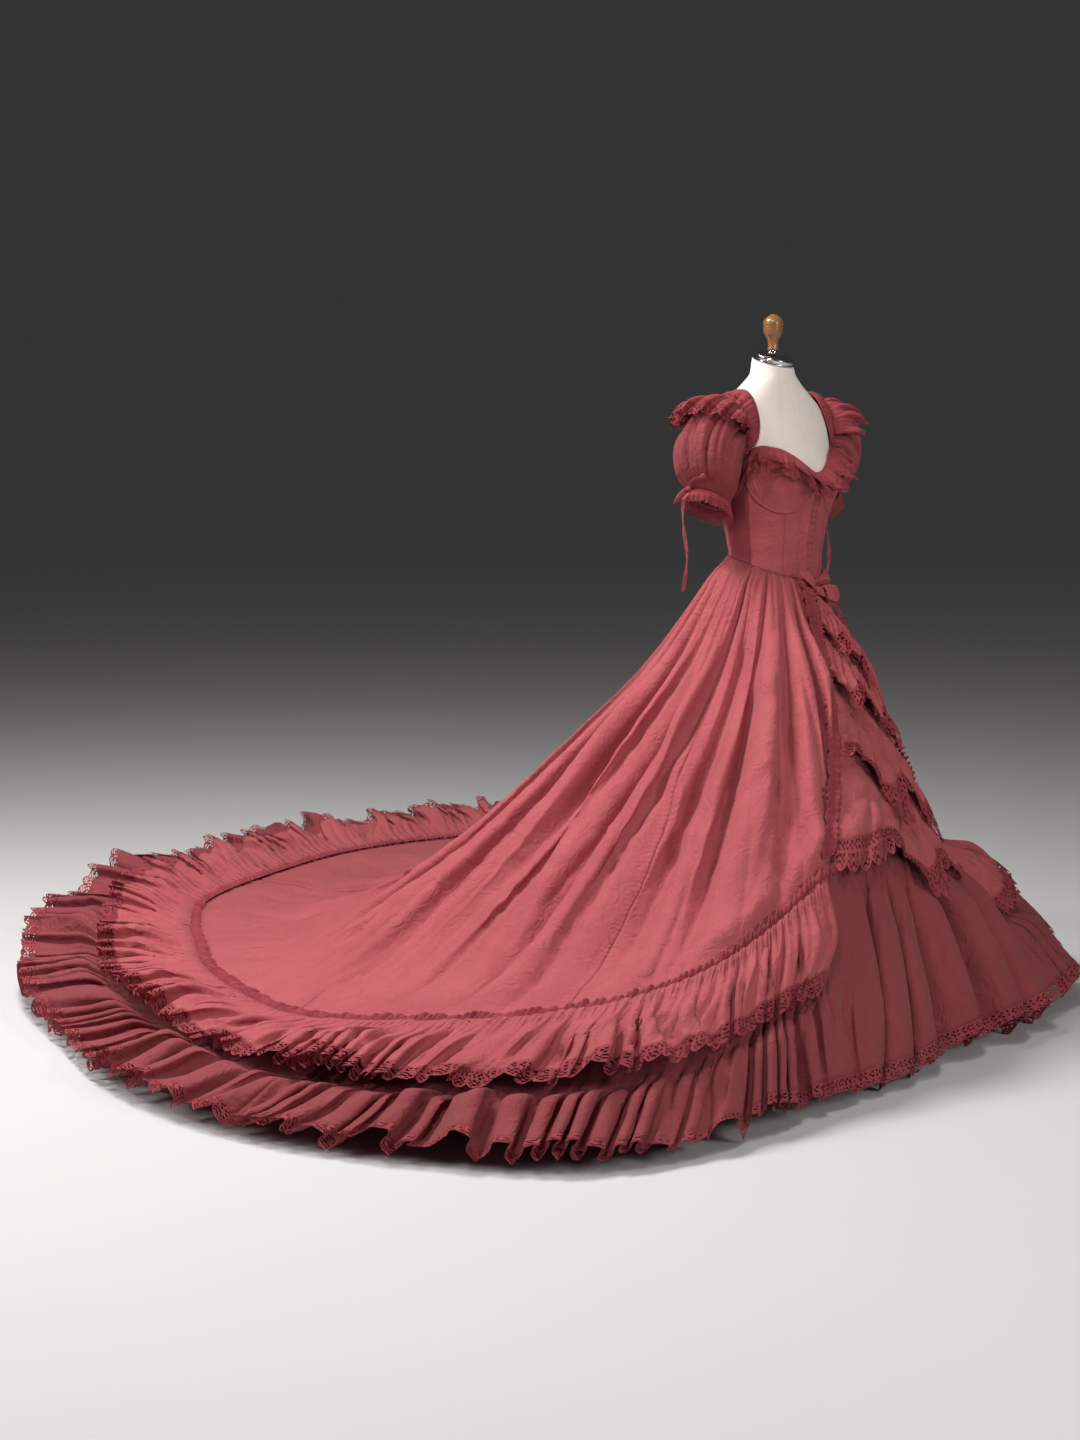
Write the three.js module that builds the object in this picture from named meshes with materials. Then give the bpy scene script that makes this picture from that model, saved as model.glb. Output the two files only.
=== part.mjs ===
// A tiered gown with puffed sleeves and a long train, worn by a limbless dress form.
// Millimetres, +Z up. The origin is on the floor under the pole of the form, the gown faces -Y,
// the wearer's right side is toward -X and the train runs toward +Y.
// Angles named phi go round the body: 0 at centre front, 90 at the wearer's right, 180 at the back.
import * as THREE from 'three';

// ---- driving dimensions -------------------------------------------------------------------
const CLOTH = 1.6; // thickness of a cloth wall
const EDGE_INSET = 0.3; // each cut edge stops this far before its seam line
const TOUCH = 0.3; // gap left between pieces that bear on each other
const WEAR_GAP = 4.5; // from the form to the middle of the bodice wall
const LAID_ON = 2.3; // from the middle of one wall to the middle of a wall sewn on top of it
const NORMAL_STEP = 0.002; // share of a sheet's span used to measure its normal

const COLOURS = {
  cotton: { color: 0xac5256, roughness: 0.85, metalness: 0 },
  panel: { color: 0x8f3d45, roughness: 0.85, metalness: 0 },
  lace: { color: 0x9c3a44, roughness: 0.9, metalness: 0 },
  linen: { color: 0xe2d8c8, roughness: 0.9, metalness: 0 },
  chrome: { color: 0xd0d2d4, roughness: 0.15, metalness: 1 },
  wood: { color: 0x8a5a2e, roughness: 0.5, metalness: 0 },
  iron: { color: 0x2a2a2c, roughness: 0.6, metalness: 0.6 },
};

// Sections of the form: height, half width, depth to the front, depth to the back.
const TORSO = [
  { z: 760, half: 168, front: 112, back: 118 },
  { z: 850, half: 178, front: 112, back: 130 },
  { z: 950, half: 156, front: 106, back: 108 },
  { z: 1070, half: 119, front: 106, back: 78 },
  { z: 1120, half: 126, front: 110, back: 82 },
  { z: 1180, half: 139, front: 118, back: 90 },
  { z: 1245, half: 150, front: 128, back: 96 },
  { z: 1300, half: 158, front: 122, back: 100 },
  { z: 1350, half: 165, front: 104, back: 98 },
  { z: 1400, half: 171, front: 80, back: 92 },
  { z: 1432, half: 160, front: 64, back: 88 },
  { z: 1456, half: 132, front: 55, back: 82 },
  { z: 1475, half: 106, front: 49, back: 75 },
  { z: 1492, half: 82, front: 46, back: 67 },
  { z: 1515, half: 56, front: 44, back: 57 },
  { z: 1560, half: 48, front: 43, back: 51 },
];
const BUST = { phi: 34, z: 1255, rise: 15, spreadPhi: 22, spreadZ: 46 };
const NECK_TOP = 1538; // height of the neck plate at the axis
const NECK_TILT = 17; // degrees that the neck plate dips to the front

// Heights round the bodice for the wearer's right half; the left half mirrors it.
const NECKLINE = [
  { phi: 0, z: 1283 },
  { phi: 8, z: 1287 },
  { phi: 17, z: 1301 },
  { phi: 33, z: 1326 },
  { phi: 49, z: 1340 },
  { phi: 68, z: 1338 },
  { phi: 76, z: 1292 },
  { phi: 90, z: 1292 },
  { phi: 104, z: 1294 },
  { phi: 109, z: 1346 },
  { phi: 140, z: 1352 },
  { phi: 180, z: 1348 },
];
const UNDERWIRE = [
  { phi: 0, z: 1252 },
  { phi: 8, z: 1236 },
  { phi: 20, z: 1203 },
  { phi: 32, z: 1193 },
  { phi: 44, z: 1192 },
  { phi: 56, z: 1203 },
  { phi: 67, z: 1224 },
  { phi: 74, z: 1258 },
];
const WAIST = { side: 1092, dip: 60 }; // the seam dips this far to the point at centre front
const BODICE_SEAMS = { placket: 3.6, front: 38, cup: 74, side: 100, back: 180 };

// Outline of the skirt round the body: radius of the hem and height of the hem, radius and
// height of the ruffle heading, and how far the ruffle waves stand off the cloth below.
const OUTLINE = [
  { phi: 0, hemR: 620, hemZ: 24, headR: 430, headZ: 415, wave: 16 },
  { phi: 15, hemR: 660, hemZ: 22, headR: 490, headZ: 430, wave: 18 },
  { phi: 28, hemR: 770, hemZ: 12, headR: 600, headZ: 440, wave: 20 },
  { phi: 41, hemR: 890, hemZ: 5, headR: 730, headZ: 430, wave: 22 },
  { phi: 49, hemR: 1050, hemZ: 3, headR: 820, headZ: 360, wave: 24 },
  { phi: 57, hemR: 1310, hemZ: 2, headR: 980, headZ: 295, wave: 26 },
  { phi: 65, hemR: 1460, hemZ: 2, headR: 1090, headZ: 245, wave: 28 },
  { phi: 76, hemR: 1540, hemZ: 2, headR: 1155, headZ: 200, wave: 30 },
  { phi: 90, hemR: 1620, hemZ: 2, headR: 1225, headZ: 160, wave: 34 },
  { phi: 105, hemR: 1660, hemZ: 2, headR: 1255, headZ: 115, wave: 38 },
  { phi: 120, hemR: 1690, hemZ: 2, headR: 1295, headZ: 100, wave: 42 },
  { phi: 133, hemR: 1800, hemZ: 2, headR: 1375, headZ: 98, wave: 46 },
  { phi: 146, hemR: 1930, hemZ: 2, headR: 1470, headZ: 80, wave: 50 },
  { phi: 158, hemR: 2130, hemZ: 2, headR: 1640, headZ: 60, wave: 62 },
  { phi: 170, hemR: 2330, hemZ: 2, headR: 1880, headZ: 52, wave: 70 },
  { phi: 182, hemR: 2500, hemZ: 2, headR: 2055, headZ: 54, wave: 76 },
  { phi: 194, hemR: 2690, hemZ: 2, headR: 2245, headZ: 60, wave: 80 },
  { phi: 205, hemR: 2740, hemZ: 2, headR: 2310, headZ: 65, wave: 80 },
  { phi: 214, hemR: 2630, hemZ: 2, headR: 2220, headZ: 66, wave: 76 },
  { phi: 226, hemR: 2260, hemZ: 2, headR: 1850, headZ: 78, wave: 66 },
  { phi: 240, hemR: 1760, hemZ: 2, headR: 1350, headZ: 130, wave: 50 },
  { phi: 256, hemR: 1290, hemZ: 2, headR: 880, headZ: 245, wave: 32 },
  { phi: 270, hemR: 1060, hemZ: 3, headR: 620, headZ: 325, wave: 26 },
  { phi: 288, hemR: 890, hemZ: 6, headR: 460, headZ: 370, wave: 22 },
  { phi: 310, hemR: 745, hemZ: 12, headR: 385, headZ: 390, wave: 18 },
  { phi: 335, hemR: 650, hemZ: 20, headR: 390, headZ: 405, wave: 16 },
];
const SWEEP = 1.6; // how fast a metre of train turns the skirt's profile hollow

// Long folds of the skirt from the waist: where each runs, how far it stands out, its half width.
const FOLDS = [
  { phi: 52, out: 22, half: 8 },
  { phi: 64, out: 16, half: 8 },
  { phi: 78, out: 30, half: 9 },
  { phi: 93, out: 22, half: 8 },
  { phi: 106, out: 34, half: 8 },
  { phi: 119, out: 26, half: 7 },
  { phi: 131, out: 40, half: 8 },
  { phi: 145, out: 30, half: 8 },
  { phi: 158, out: 42, half: 8 },
  { phi: 171, out: 34, half: 7 },
  { phi: 184, out: 46, half: 8 },
  { phi: 197, out: 32, half: 8 },
  { phi: 210, out: 40, half: 7 },
  { phi: 223, out: 30, half: 8 },
  { phi: 237, out: 34, half: 8 },
  { phi: 251, out: 24, half: 8 },
  { phi: 265, out: 28, half: 9 },
  { phi: 281, out: 20, half: 9 },
  { phi: 296, out: 22, half: 9 },
  { phi: 313, out: 18, half: 9 },
];
const GORE_END = 0.985; // the gores stop where the lower tier is sewn on
// Angle from centre front to each edge of the front opening, at the waist and at the heading.
const OPENING = { right: { waist: 7, heading: 41 }, left: { waist: 6, heading: 33 } };
const OPENING_CURVE = 0.75;
const GORES = [72, 108, 144, 180, 216, 252, 288]; // seams between the eight skirt gores

// The two gathered tiers: where each starts and ends between heading (1) and hem (2), the
// number of waves in its whole round, and its rest distance above the skirt's own surface.
const UPPER = { start: 0.98, end: 1.5, waves: 44, lift: 5, share: 0.6, pieces: 4 };
const LOWER = { start: 0.986, end: 2, waves: 56, lift: 0, share: 0.8, pieces: 5 };
const COLUMNS_PER_WAVE = 3;

// Swags across the front opening, each laid over the next: where its top meets the two edges of
// the opening, and how long it falls there (shares of the way from waist to heading).
const SWAGS = [
  { name: 'swag_1', right: 0.04, left: 0.1, fall: 0.27 },
  { name: 'swag_2', right: 0.22, left: 0.3, fall: 0.28 },
  { name: 'swag_3', right: 0.42, left: 0.5, fall: 0.27 },
  { name: 'swag_4', right: 0.61, left: 0.69, fall: 0.26 },
];
const SWAG_OUT = { top: 3.1, bottom: 24, wave: 7, inside: 4 };
const EDGE_FRILL = { from: 0.03, to: 0.95, width: 30, waves: 10, out: 3.1, wave: 6 };
// The bow on the waist seam: a knot and two pointed petals, each with its reach, rise and width.
const BOW = {
  t: 0.07, out: 12.5, knotR: 9, beside: 7.2, bulge: 12,
  right: { reach: -52, rise: 44, half: 11 }, left: { reach: 84, rise: -16, half: 17 },
};

// Rings of the puffed sleeve from armhole to tie: inner point, outer point, half depth, and how
// far the ring sits toward the back.
const SLEEVE = [
  { v: 0, innerX: 162.2, innerZ: 1288, outerX: 162, outerZ: 1436, depth: 62, back: 4 },
  { v: 0.18, innerX: 167, innerZ: 1279, outerX: 206, outerZ: 1438, depth: 75, back: 8 },
  { v: 0.4, innerX: 168, innerZ: 1264, outerX: 254, outerZ: 1402, depth: 83, back: 12 },
  { v: 0.62, innerX: 166, innerZ: 1242, outerX: 276, outerZ: 1342, depth: 83, back: 16 },
  { v: 0.83, innerX: 162, innerZ: 1216, outerX: 268, outerZ: 1282, depth: 72, back: 19 },
  { v: 1, innerX: 160, innerZ: 1194, outerX: 246, outerZ: 1246, depth: 52, back: 20 },
];
const SLEEVE_FOLDS = { count: 8, out: 7 };
const CUFF_FRILL = { fall: 36, flare: 12, wave: 5, count: 8 };

// Shoulder straps run over the shoulder; psi is 0 on its ridge, negative toward the front.
const STRAP = {
  front: 88.5, back: 81, inner: 118, innerEnd: 142, outer: 153.3, outerEnd: 157.2, pivotZ: 1340,
};
const NECK_FRILL = { width: 46, rise: 13, wave: 6 };
const SHOULDER_FRILL = {
  from: 100, to: 262, share: 0.44, out: 2, rise: 22, wave: 9, count: 8, sewnIn: 3,
};
const STRAP_FRILL = { frontEnd: 16, backEnd: 10, inner: 0.5, outer: 0.86, rise: 6, wave: 4, count: 5 };
// The drawstring of the sleeve: its knot sits on the cuff, with one loop and one long tail.
const TIE = { turn: 150, v: 0.98, beside: 1, away: 20, loopReach: 26, loopFall: 34, tail: 235,
  width: 9, drift: 7 };

const STAND = { poleR: 15, baseR: 230, baseH: 22, hubR: 32, hubH: 60 };
const NECK_CAP = { radius: 49, height: 17, edge: 3, back: 4 };
const FINIAL_LIFT = 4.1; // clears the tilted plate at the rim of the knob's foot
// Profile of the turned knob: radius and height above its foot.
const FINIAL = [
  [0, 0], [10, 0], [10, 8], [13, 10], [13, 32], [15, 35], [22, 50], [24, 61], [23, 63],
  [24, 65], [22, 76], [15, 88], [7, 91], [0, 91],
];

const gown = new THREE.Group();
gown.name = 'tiered_gown_on_form';

// ---- reading the tables -------------------------------------------------------------------
const rad = THREE.MathUtils.degToRad;
const clamp = THREE.MathUtils.clamp;
const smooth = THREE.MathUtils.smoothstep;
const lerp = THREE.MathUtils.lerp;

// A smooth curve through one column of a table.
function readTable(rows, key, column, at) {
  let i = 0;
  while (i < rows.length - 2 && at > rows[i + 1][key]) i += 1;
  const a = rows[i];
  const b = rows[i + 1];
  const before = rows[i - 1] ?? a;
  const after = rows[i + 2] ?? b;
  const span = b[key] - a[key];
  const f = clamp((at - a[key]) / span, 0, 1);
  const startSlope = (span * (b[column] - before[column])) / (b[key] - before[key]);
  const endSlope = (span * (after[column] - a[column])) / (after[key] - a[key]);
  const rise = b[column] - a[column];
  return (
    a[column] +
    f * startSlope +
    f * f * (3 * rise - 2 * startSlope - endSlope) +
    f * f * f * (startSlope + endSlope - 2 * rise)
  );
}

// The outline table repeated before and after, so that it reads as a closed round.
const ROUND = [-360, 0, 360].flatMap((turn) =>
  OUTLINE.map((row) => ({ ...row, phi: row.phi + turn })),
);

function outline(phi, column) {
  const turned = ((phi % 360) + 360) % 360;
  return readTable(ROUND, 'phi', column, turned);
}

function around(phi, radius, z) {
  return new THREE.Vector3(-radius * Math.sin(rad(phi)), -radius * Math.cos(rad(phi)), z);
}

function halfAngle(phi) {
  const turned = (((phi + 180) % 360) + 360) % 360;
  return Math.abs(turned - 180);
}

// ---- walls of cloth -----------------------------------------------------------------------
function addMesh(name, geometry, look) {
  const mesh = new THREE.Mesh(geometry, new THREE.MeshStandardMaterial(COLOURS[look]));
  mesh.name = name;
  gown.add(mesh);
  return mesh;
}

function closedGeometry(points, triangles) {
  let volume = 0;
  for (const [a, b, c] of triangles) {
    volume += points[a].dot(new THREE.Vector3().crossVectors(points[b], points[c]));
  }
  const facing = volume < 0 ? triangles.map(([a, b, c]) => [a, c, b]) : triangles;
  const geometry = new THREE.BufferGeometry();
  geometry.setFromPoints(points);
  geometry.setIndex(facing.flat());
  geometry.computeVertexNormals();
  return geometry;
}

// Middle point and unit normal of a sheet given as a function of u and v in 0..1.
function sheetFrame(sheet, u, v) {
  const along = sheet(u + NORMAL_STEP, v).sub(sheet(u - NORMAL_STEP, v)).normalize();
  const down = sheet(u, v + NORMAL_STEP).sub(sheet(u, v - NORMAL_STEP)).normalize();
  const normal = new THREE.Vector3().crossVectors(along, down).normalize();
  return { point: sheet(u, v), along, down, normal };
}

// A closed wall on both sides of a sheet, with cut edges, or a tube when it goes all round.
function wall(sheet, { nu, nv, round = false, thick = CLOTH }) {
  const columns = round ? nu : nu + 1;
  const faces = [[], []];
  for (let j = 0; j <= nv; j += 1) {
    for (let i = 0; i < columns; i += 1) {
      const { point, along, down, normal } = sheetFrame(sheet, i / nu, j / nv);
      if (!round && i === 0) point.addScaledVector(along, EDGE_INSET);
      if (!round && i === nu) point.addScaledVector(along, -EDGE_INSET);
      if (j === 0) point.addScaledVector(down, EDGE_INSET);
      if (j === nv) point.addScaledVector(down, -EDGE_INSET);
      faces[0].push(point.clone().addScaledVector(normal, thick / 2));
      faces[1].push(point.clone().addScaledVector(normal, -thick / 2));
    }
  }
  const back = faces[0].length;
  const at = (i, j) => j * columns + (i % columns);
  const triangles = [];
  const quad = (a, b, c, d) => triangles.push([a, b, c], [a, c, d]);
  for (let j = 0; j < nv; j += 1) {
    for (let i = 0; i < nu; i += 1) {
      quad(at(i, j), at(i + 1, j), at(i + 1, j + 1), at(i, j + 1));
      quad(
        back + at(i, j),
        back + at(i, j + 1),
        back + at(i + 1, j + 1),
        back + at(i + 1, j),
      );
    }
    if (!round) {
      quad(at(0, j), at(0, j + 1), back + at(0, j + 1), back + at(0, j));
      quad(at(nu, j), back + at(nu, j), back + at(nu, j + 1), at(nu, j + 1));
    }
  }
  for (let i = 0; i < nu; i += 1) {
    quad(at(i + 1, 0), at(i, 0), back + at(i, 0), back + at(i + 1, 0));
    quad(at(i, nv), at(i + 1, nv), back + at(i + 1, nv), back + at(i, nv));
  }
  return closedGeometry(faces.flat(), triangles);
}

// ---- the form -----------------------------------------------------------------------------
function torsoRadius(phi, z, grow = 0) {
  const half = readTable(TORSO, 'z', 'half', z) + grow;
  const side = Math.cos(rad(phi)) > 0 ? 'front' : 'back';
  const depth = readTable(TORSO, 'z', side, z) + grow;
  const ellipse = 1 / Math.hypot(Math.sin(rad(phi)) / half, Math.cos(rad(phi)) / depth);
  const aside = (halfAngle(phi) - BUST.phi) / BUST.spreadPhi;
  const above = (z - BUST.z) / BUST.spreadZ;
  return ellipse + BUST.rise * Math.exp(-aside * aside - above * above);
}

function onTorso(phi, z, grow = 0) {
  return around(phi, torsoRadius(phi, z, grow), z);
}

function formBody() {
  const columns = 24;
  const heights = TORSO.slice(0, -1).map((row) => row.z);
  const points = [];
  const triangles = [];
  for (const z of heights) {
    for (let i = 0; i < columns; i += 1) points.push(onTorso((360 * i) / columns, z));
  }
  for (let i = 0; i < columns; i += 1) {
    const rim = onTorso((360 * i) / columns, NECK_TOP);
    rim.z = NECK_TOP + rim.y * Math.tan(rad(NECK_TILT));
    points.push(rim);
  }
  const rings = heights.length + 1;
  const at = (i, j) => j * columns + (i % columns);
  for (let j = 0; j < rings - 1; j += 1) {
    for (let i = 0; i < columns; i += 1) {
      triangles.push([at(i, j), at(i + 1, j), at(i + 1, j + 1)]);
      triangles.push([at(i, j), at(i + 1, j + 1), at(i, j + 1)]);
    }
  }
  const bottom = points.push(new THREE.Vector3(0, 0, TORSO[0].z)) - 1;
  const top = points.push(new THREE.Vector3(0, 0, NECK_TOP)) - 1;
  for (let i = 0; i < columns; i += 1) {
    triangles.push([bottom, at(i + 1, 0), at(i, 0)]);
    triangles.push([top, at(i, rings - 1), at(i + 1, rings - 1)]);
  }
  addMesh('form_body', closedGeometry(points, triangles), 'linen');
}

function lathe(profile, segments) {
  const points = profile.map(([r, z]) => new THREE.Vector2(r, z));
  const geometry = new THREE.LatheGeometry(points, segments);
  geometry.rotateX(Math.PI / 2);
  return geometry;
}

function neckFittings() {
  const { radius, height, edge, back } = NECK_CAP;
  const plate = lathe([[0, 0], [radius, 0], [radius, height - edge], [radius - edge, height],
    [0, height]], 24);
  const cap = addMesh('neck_cap', plate, 'chrome');
  cap.rotation.x = rad(NECK_TILT);
  cap.position.set(0, back, NECK_TOP + back * Math.tan(rad(NECK_TILT)) + TOUCH);
  const knob = addMesh('finial', lathe(FINIAL, 14), 'wood');
  knob.position.set(0, back, cap.position.z + height + FINIAL_LIFT);
}

function stand() {
  const poleTop = TORSO[0].z - TOUCH;
  const foot = STAND.hubH + TOUCH;
  addMesh('stand_pole', lathe([[0, foot], [STAND.poleR, foot], [STAND.poleR, poleTop],
    [0, poleTop]], 16), 'chrome');
  addMesh('stand_base', lathe([[0, 0], [STAND.baseR, 0], [STAND.baseR, STAND.baseH * 0.6],
    [STAND.baseR - 12, STAND.baseH], [STAND.hubR, STAND.baseH + 4],
    [STAND.hubR, STAND.hubH], [0, STAND.hubH]], 24), 'iron');
}

// ---- the bodice ---------------------------------------------------------------------------
function waistZ(phi) {
  const forward = (1 + Math.cos(rad(phi))) / 2;
  return WAIST.side - WAIST.dip * forward * forward;
}

function necklineZ(phi) {
  return readTable(NECKLINE, 'phi', 'z', halfAngle(phi));
}

function underwireZ(phi) {
  return readTable(UNDERWIRE, 'phi', 'z', Math.min(halfAngle(phi), BODICE_SEAMS.cup));
}

// A bodice piece between two angles, from one height round the body to another. With a middle
// angle, half of its columns lie on each side of it, as on the two panels under a cup.
function bodicePiece(from, to, low, high, middle = (from + to) / 2) {
  return (u, v) => {
    const phi = u < 0.5 ? lerp(from, middle, 2 * u) : lerp(middle, to, 2 * u - 1);
    return onTorso(phi, lerp(low(phi), high(phi), v), WEAR_GAP);
  };
}

function bodice() {
  const { placket, front, cup, side, back } = BODICE_SEAMS;
  addMesh('placket', wall(bodicePiece(-placket, placket, waistZ, necklineZ), { nu: 2, nv: 6 }),
    'cotton');
  for (const [sign, tag] of [[1, 'r'], [-1, 'l']]) {
    const piece = (name, from, to, low, high, nu, nv, look = 'cotton') =>
      addMesh(`${name}_${tag}`,
        wall(bodicePiece(sign * from, sign * to, low, high), { nu, nv }), look);
    piece('front_panel_bodice', placket, front, waistZ, underwireZ, 5, 5);
    piece('side_front', front, cup, waistZ, underwireZ, 5, 5);
    const cupSheet = bodicePiece(sign * placket, sign * cup, underwireZ, necklineZ, sign * front);
    addMesh(`cup_${tag}`, wall(cupSheet, { nu: 10, nv: 3 }), 'cotton');
    piece('side_back', cup, side, waistZ, necklineZ, 4, 6, 'panel');
    piece('back', side, back, waistZ, necklineZ, 8, 5);
    addMesh(`strap_${tag}`, wall(strapSheet(sign), { nu: 10, nv: 2 }), 'cotton');
  }
}

// Distance from the shoulder's pivot line to the form's surface, in the direction psi.
function shoulderReach(lateral, psi, grow) {
  let near = 0;
  let far = 160;
  for (let step = 0; step < 24; step += 1) {
    const middle = (near + far) / 2;
    const y = middle * Math.sin(rad(psi));
    const z = STRAP.pivotZ + middle * Math.cos(rad(psi)) - grow * Math.cos(rad(psi));
    const half = readTable(TORSO, 'z', 'half', z) + grow;
    const depth = readTable(TORSO, 'z', y < 0 ? 'front' : 'back', z) + grow;
    if (Math.hypot(lateral / half, y / depth) < 1) near = middle;
    else far = middle;
  }
  return near;
}

function onShoulder(sign, lateral, psi, grow) {
  const reach = shoulderReach(lateral, psi, grow);
  return new THREE.Vector3(
    -sign * lateral,
    reach * Math.sin(rad(psi)),
    STRAP.pivotZ + reach * Math.cos(rad(psi)),
  );
}

function strapLateral(psi, v) {
  const away = (psi / STRAP.front) ** 2;
  const inner = lerp(STRAP.inner, STRAP.innerEnd, away);
  const outer = lerp(STRAP.outer, STRAP.outerEnd, away);
  return lerp(inner, outer, v);
}

function strapSheet(sign) {
  return (u, v) => {
    const psi = lerp(-STRAP.front, STRAP.back, u);
    return onShoulder(sign, strapLateral(psi, v), psi, WEAR_GAP);
  };
}

// ---- sleeves and the frills of the neckline -----------------------------------------------
function sleevePoint(sign, turn, v, out) {
  const read = (column) => readTable(SLEEVE, 'v', column, v);
  const innerX = read('innerX');
  const innerZ = read('innerZ');
  const reachX = (read('outerX') - innerX) / 2;
  const reachZ = (read('outerZ') - innerZ) / 2;
  const across = Math.hypot(reachX, reachZ);
  const spread = -Math.cos(turn) * (1 + out / across);
  const depth = read('depth') + out;
  return new THREE.Vector3(
    -sign * (innerX + reachX * (1 + spread)),
    read('back') + depth * Math.sin(turn),
    innerZ + reachZ * (1 + spread),
  );
}

function sleeveSheet(sign) {
  return (u, v) => {
    const turn = 2 * Math.PI * u;
    const puff = Math.sin(Math.PI * clamp(v, 0, 1)) ** 0.7;
    const fold = 0.5 - 0.5 * Math.cos(SLEEVE_FOLDS.count * turn + Math.sin(turn));
    const outer = 0.5 - 0.5 * Math.cos(turn); // no fold against the body
    return sleevePoint(sign, turn, v, SLEEVE_FOLDS.out * fold * puff * outer);
  };
}

function cuffFrillSheet(sign) {
  return (u, v) => {
    const turn = 2 * Math.PI * u;
    const outer = 0.5 - 0.5 * Math.cos(turn);
    const wave = 0.5 - 0.5 * Math.cos(CUFF_FRILL.count * turn);
    const flare = (CUFF_FRILL.flare * outer + CUFF_FRILL.wave * wave * outer) * v;
    const point = sleevePoint(sign, turn, 1, flare);
    point.z -= 3 * TOUCH + CUFF_FRILL.fall * v;
    return point;
  };
}

function tieLoopSheet(knot, sign) {
  return (u, v) => {
    const width = TIE.width * Math.sin(Math.PI * clamp(0.12 + 0.85 * u, 0, 1)) + 2;
    return new THREE.Vector3(
      knot.x - sign * (TIE.beside + TIE.away * u),
      knot.y + 3 + TIE.loopReach * u + width * (v - 0.5),
      knot.z - TIE.loopFall * u - 0.6 * width * (v - 0.5),
    );
  };
}

function tieTailSheet(knot, sign) {
  return (u, v) => {
    const drift = TIE.drift * Math.sin(2.2 * Math.PI * u);
    return new THREE.Vector3(
      knot.x - sign * (TIE.beside + TIE.away * smooth(u, 0, 0.1)),
      knot.y - 6 + drift + TIE.width * (v - 0.5),
      knot.z - 4 - TIE.tail * u,
    );
  };
}

function sleeves() {
  for (const [sign, tag] of [[1, 'r'], [-1, 'l']]) {
    addMesh(`sleeve_${tag}`, wall(sleeveSheet(sign), { nu: 32, nv: 5, round: true }), 'cotton');
    addMesh(`cuff_frill_${tag}`, wall(cuffFrillSheet(sign), { nu: 24, nv: 1, round: true }),
      'lace');
    const knot = sleevePoint(sign, rad(TIE.turn), TIE.v, LAID_ON);
    addMesh(`tie_loop_${tag}`, wall(tieLoopSheet(knot, sign), { nu: 5, nv: 1 }), 'cotton');
    addMesh(`tie_tail_${tag}`, wall(tieTailSheet(knot, sign), { nu: 14, nv: 1 }),
      'cotton');
  }
}

// A frill that hangs from the neckline between two angles round the body.
function neckFrillSheet(from, to, waves) {
  return (u, v) => {
    const phi = lerp(from, to, u);
    const fall = clamp(v, 0, 1);
    const wave = 0.5 - 0.5 * Math.cos(2 * Math.PI * waves * u);
    const out = WEAR_GAP + LAID_ON + NECK_FRILL.rise * fall + NECK_FRILL.wave * fall * wave;
    return onTorso(phi, necklineZ(phi) - 1 - NECK_FRILL.width * v, out);
  };
}

function strapFrillSheet(sign) {
  const { frontEnd, backEnd, inner, outer, rise, count } = STRAP_FRILL;
  return (u, v) => {
    const psi = lerp(-STRAP.front + frontEnd, STRAP.back - backEnd, u);
    const fall = clamp(v, 0, 1);
    const wave = 0.5 - 0.5 * Math.cos(2 * Math.PI * count * u);
    const lateral = lerp(strapLateral(psi, 0) + inner, strapLateral(psi, outer), v);
    const lifted = (rise + STRAP_FRILL.wave * wave) * fall;
    return onShoulder(sign, lateral, psi, WEAR_GAP + LAID_ON + lifted);
  };
}

// The wide frill sewn into the top of the armhole and falling over the sleeve.
function shoulderFrillSheet(sign) {
  return (u, v) => {
    const turn = rad(lerp(SHOULDER_FRILL.from, SHOULDER_FRILL.to, u));
    const fall = clamp(v, 0, 1);
    const wave = 0.5 - 0.5 * Math.cos(2 * Math.PI * SHOULDER_FRILL.count * u);
    const taper = Math.sin(Math.PI * clamp(0.12 + 0.76 * u, 0, 1)) ** 0.6;
    const out = SHOULDER_FRILL.out + (SHOULDER_FRILL.rise + SHOULDER_FRILL.wave * wave) * fall;
    const point = sleevePoint(sign, turn, SHOULDER_FRILL.share * taper * v, out);
    point.x += sign * SHOULDER_FRILL.sewnIn * (1 - smooth(v, 0, 0.25));
    return point;
  };
}

function neckFrills() {
  addMesh('neck_frill_front', wall(neckFrillSheet(-66, 66, 10), { nu: 30, nv: 2 }), 'lace');
  addMesh('neck_frill_back', wall(neckFrillSheet(122, 238, 8), { nu: 24, nv: 2 }), 'lace');
  for (const [sign, tag] of [[1, 'r'], [-1, 'l']]) {
    addMesh(`strap_frill_${tag}`, wall(strapFrillSheet(sign), { nu: 15, nv: 1 }), 'lace');
    addMesh(`shoulder_frill_${tag}`, wall(shoulderFrillSheet(sign), { nu: 24, nv: 2 }), 'lace');
  }
}

// ---- the skirt ----------------------------------------------------------------------------
// The skirt's own surface: t is 0 at the waist seam, 1 at the ruffle heading, 2 at the hem.
function skirtBase(phi, t) {
  const top = waistZ(phi) - TOUCH;
  const waistR = torsoRadius(phi, top, WEAR_GAP);
  const headR = outline(phi, 'headR');
  const headZ = outline(phi, 'headZ');
  if (t <= 1) {
    const q = Math.max(t, 0) ** 1.15;
    const hollow = Math.max(1, (SWEEP * (headR - waistR)) / 1000);
    return around(phi, lerp(waistR, headR, q), headZ + (top - headZ) * (1 - q) ** hollow);
  }
  const q = t - 1;
  const hemR = outline(phi, 'hemR');
  const hemZ = outline(phi, 'hemZ');
  const settle = 1 + 1.1 * smooth(hemR, 900, 2200);
  const height = hemZ + (headZ - hemZ) * Math.max(1 - q, 0) ** settle;
  return around(phi, lerp(headR, hemR, q), height);
}

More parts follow.
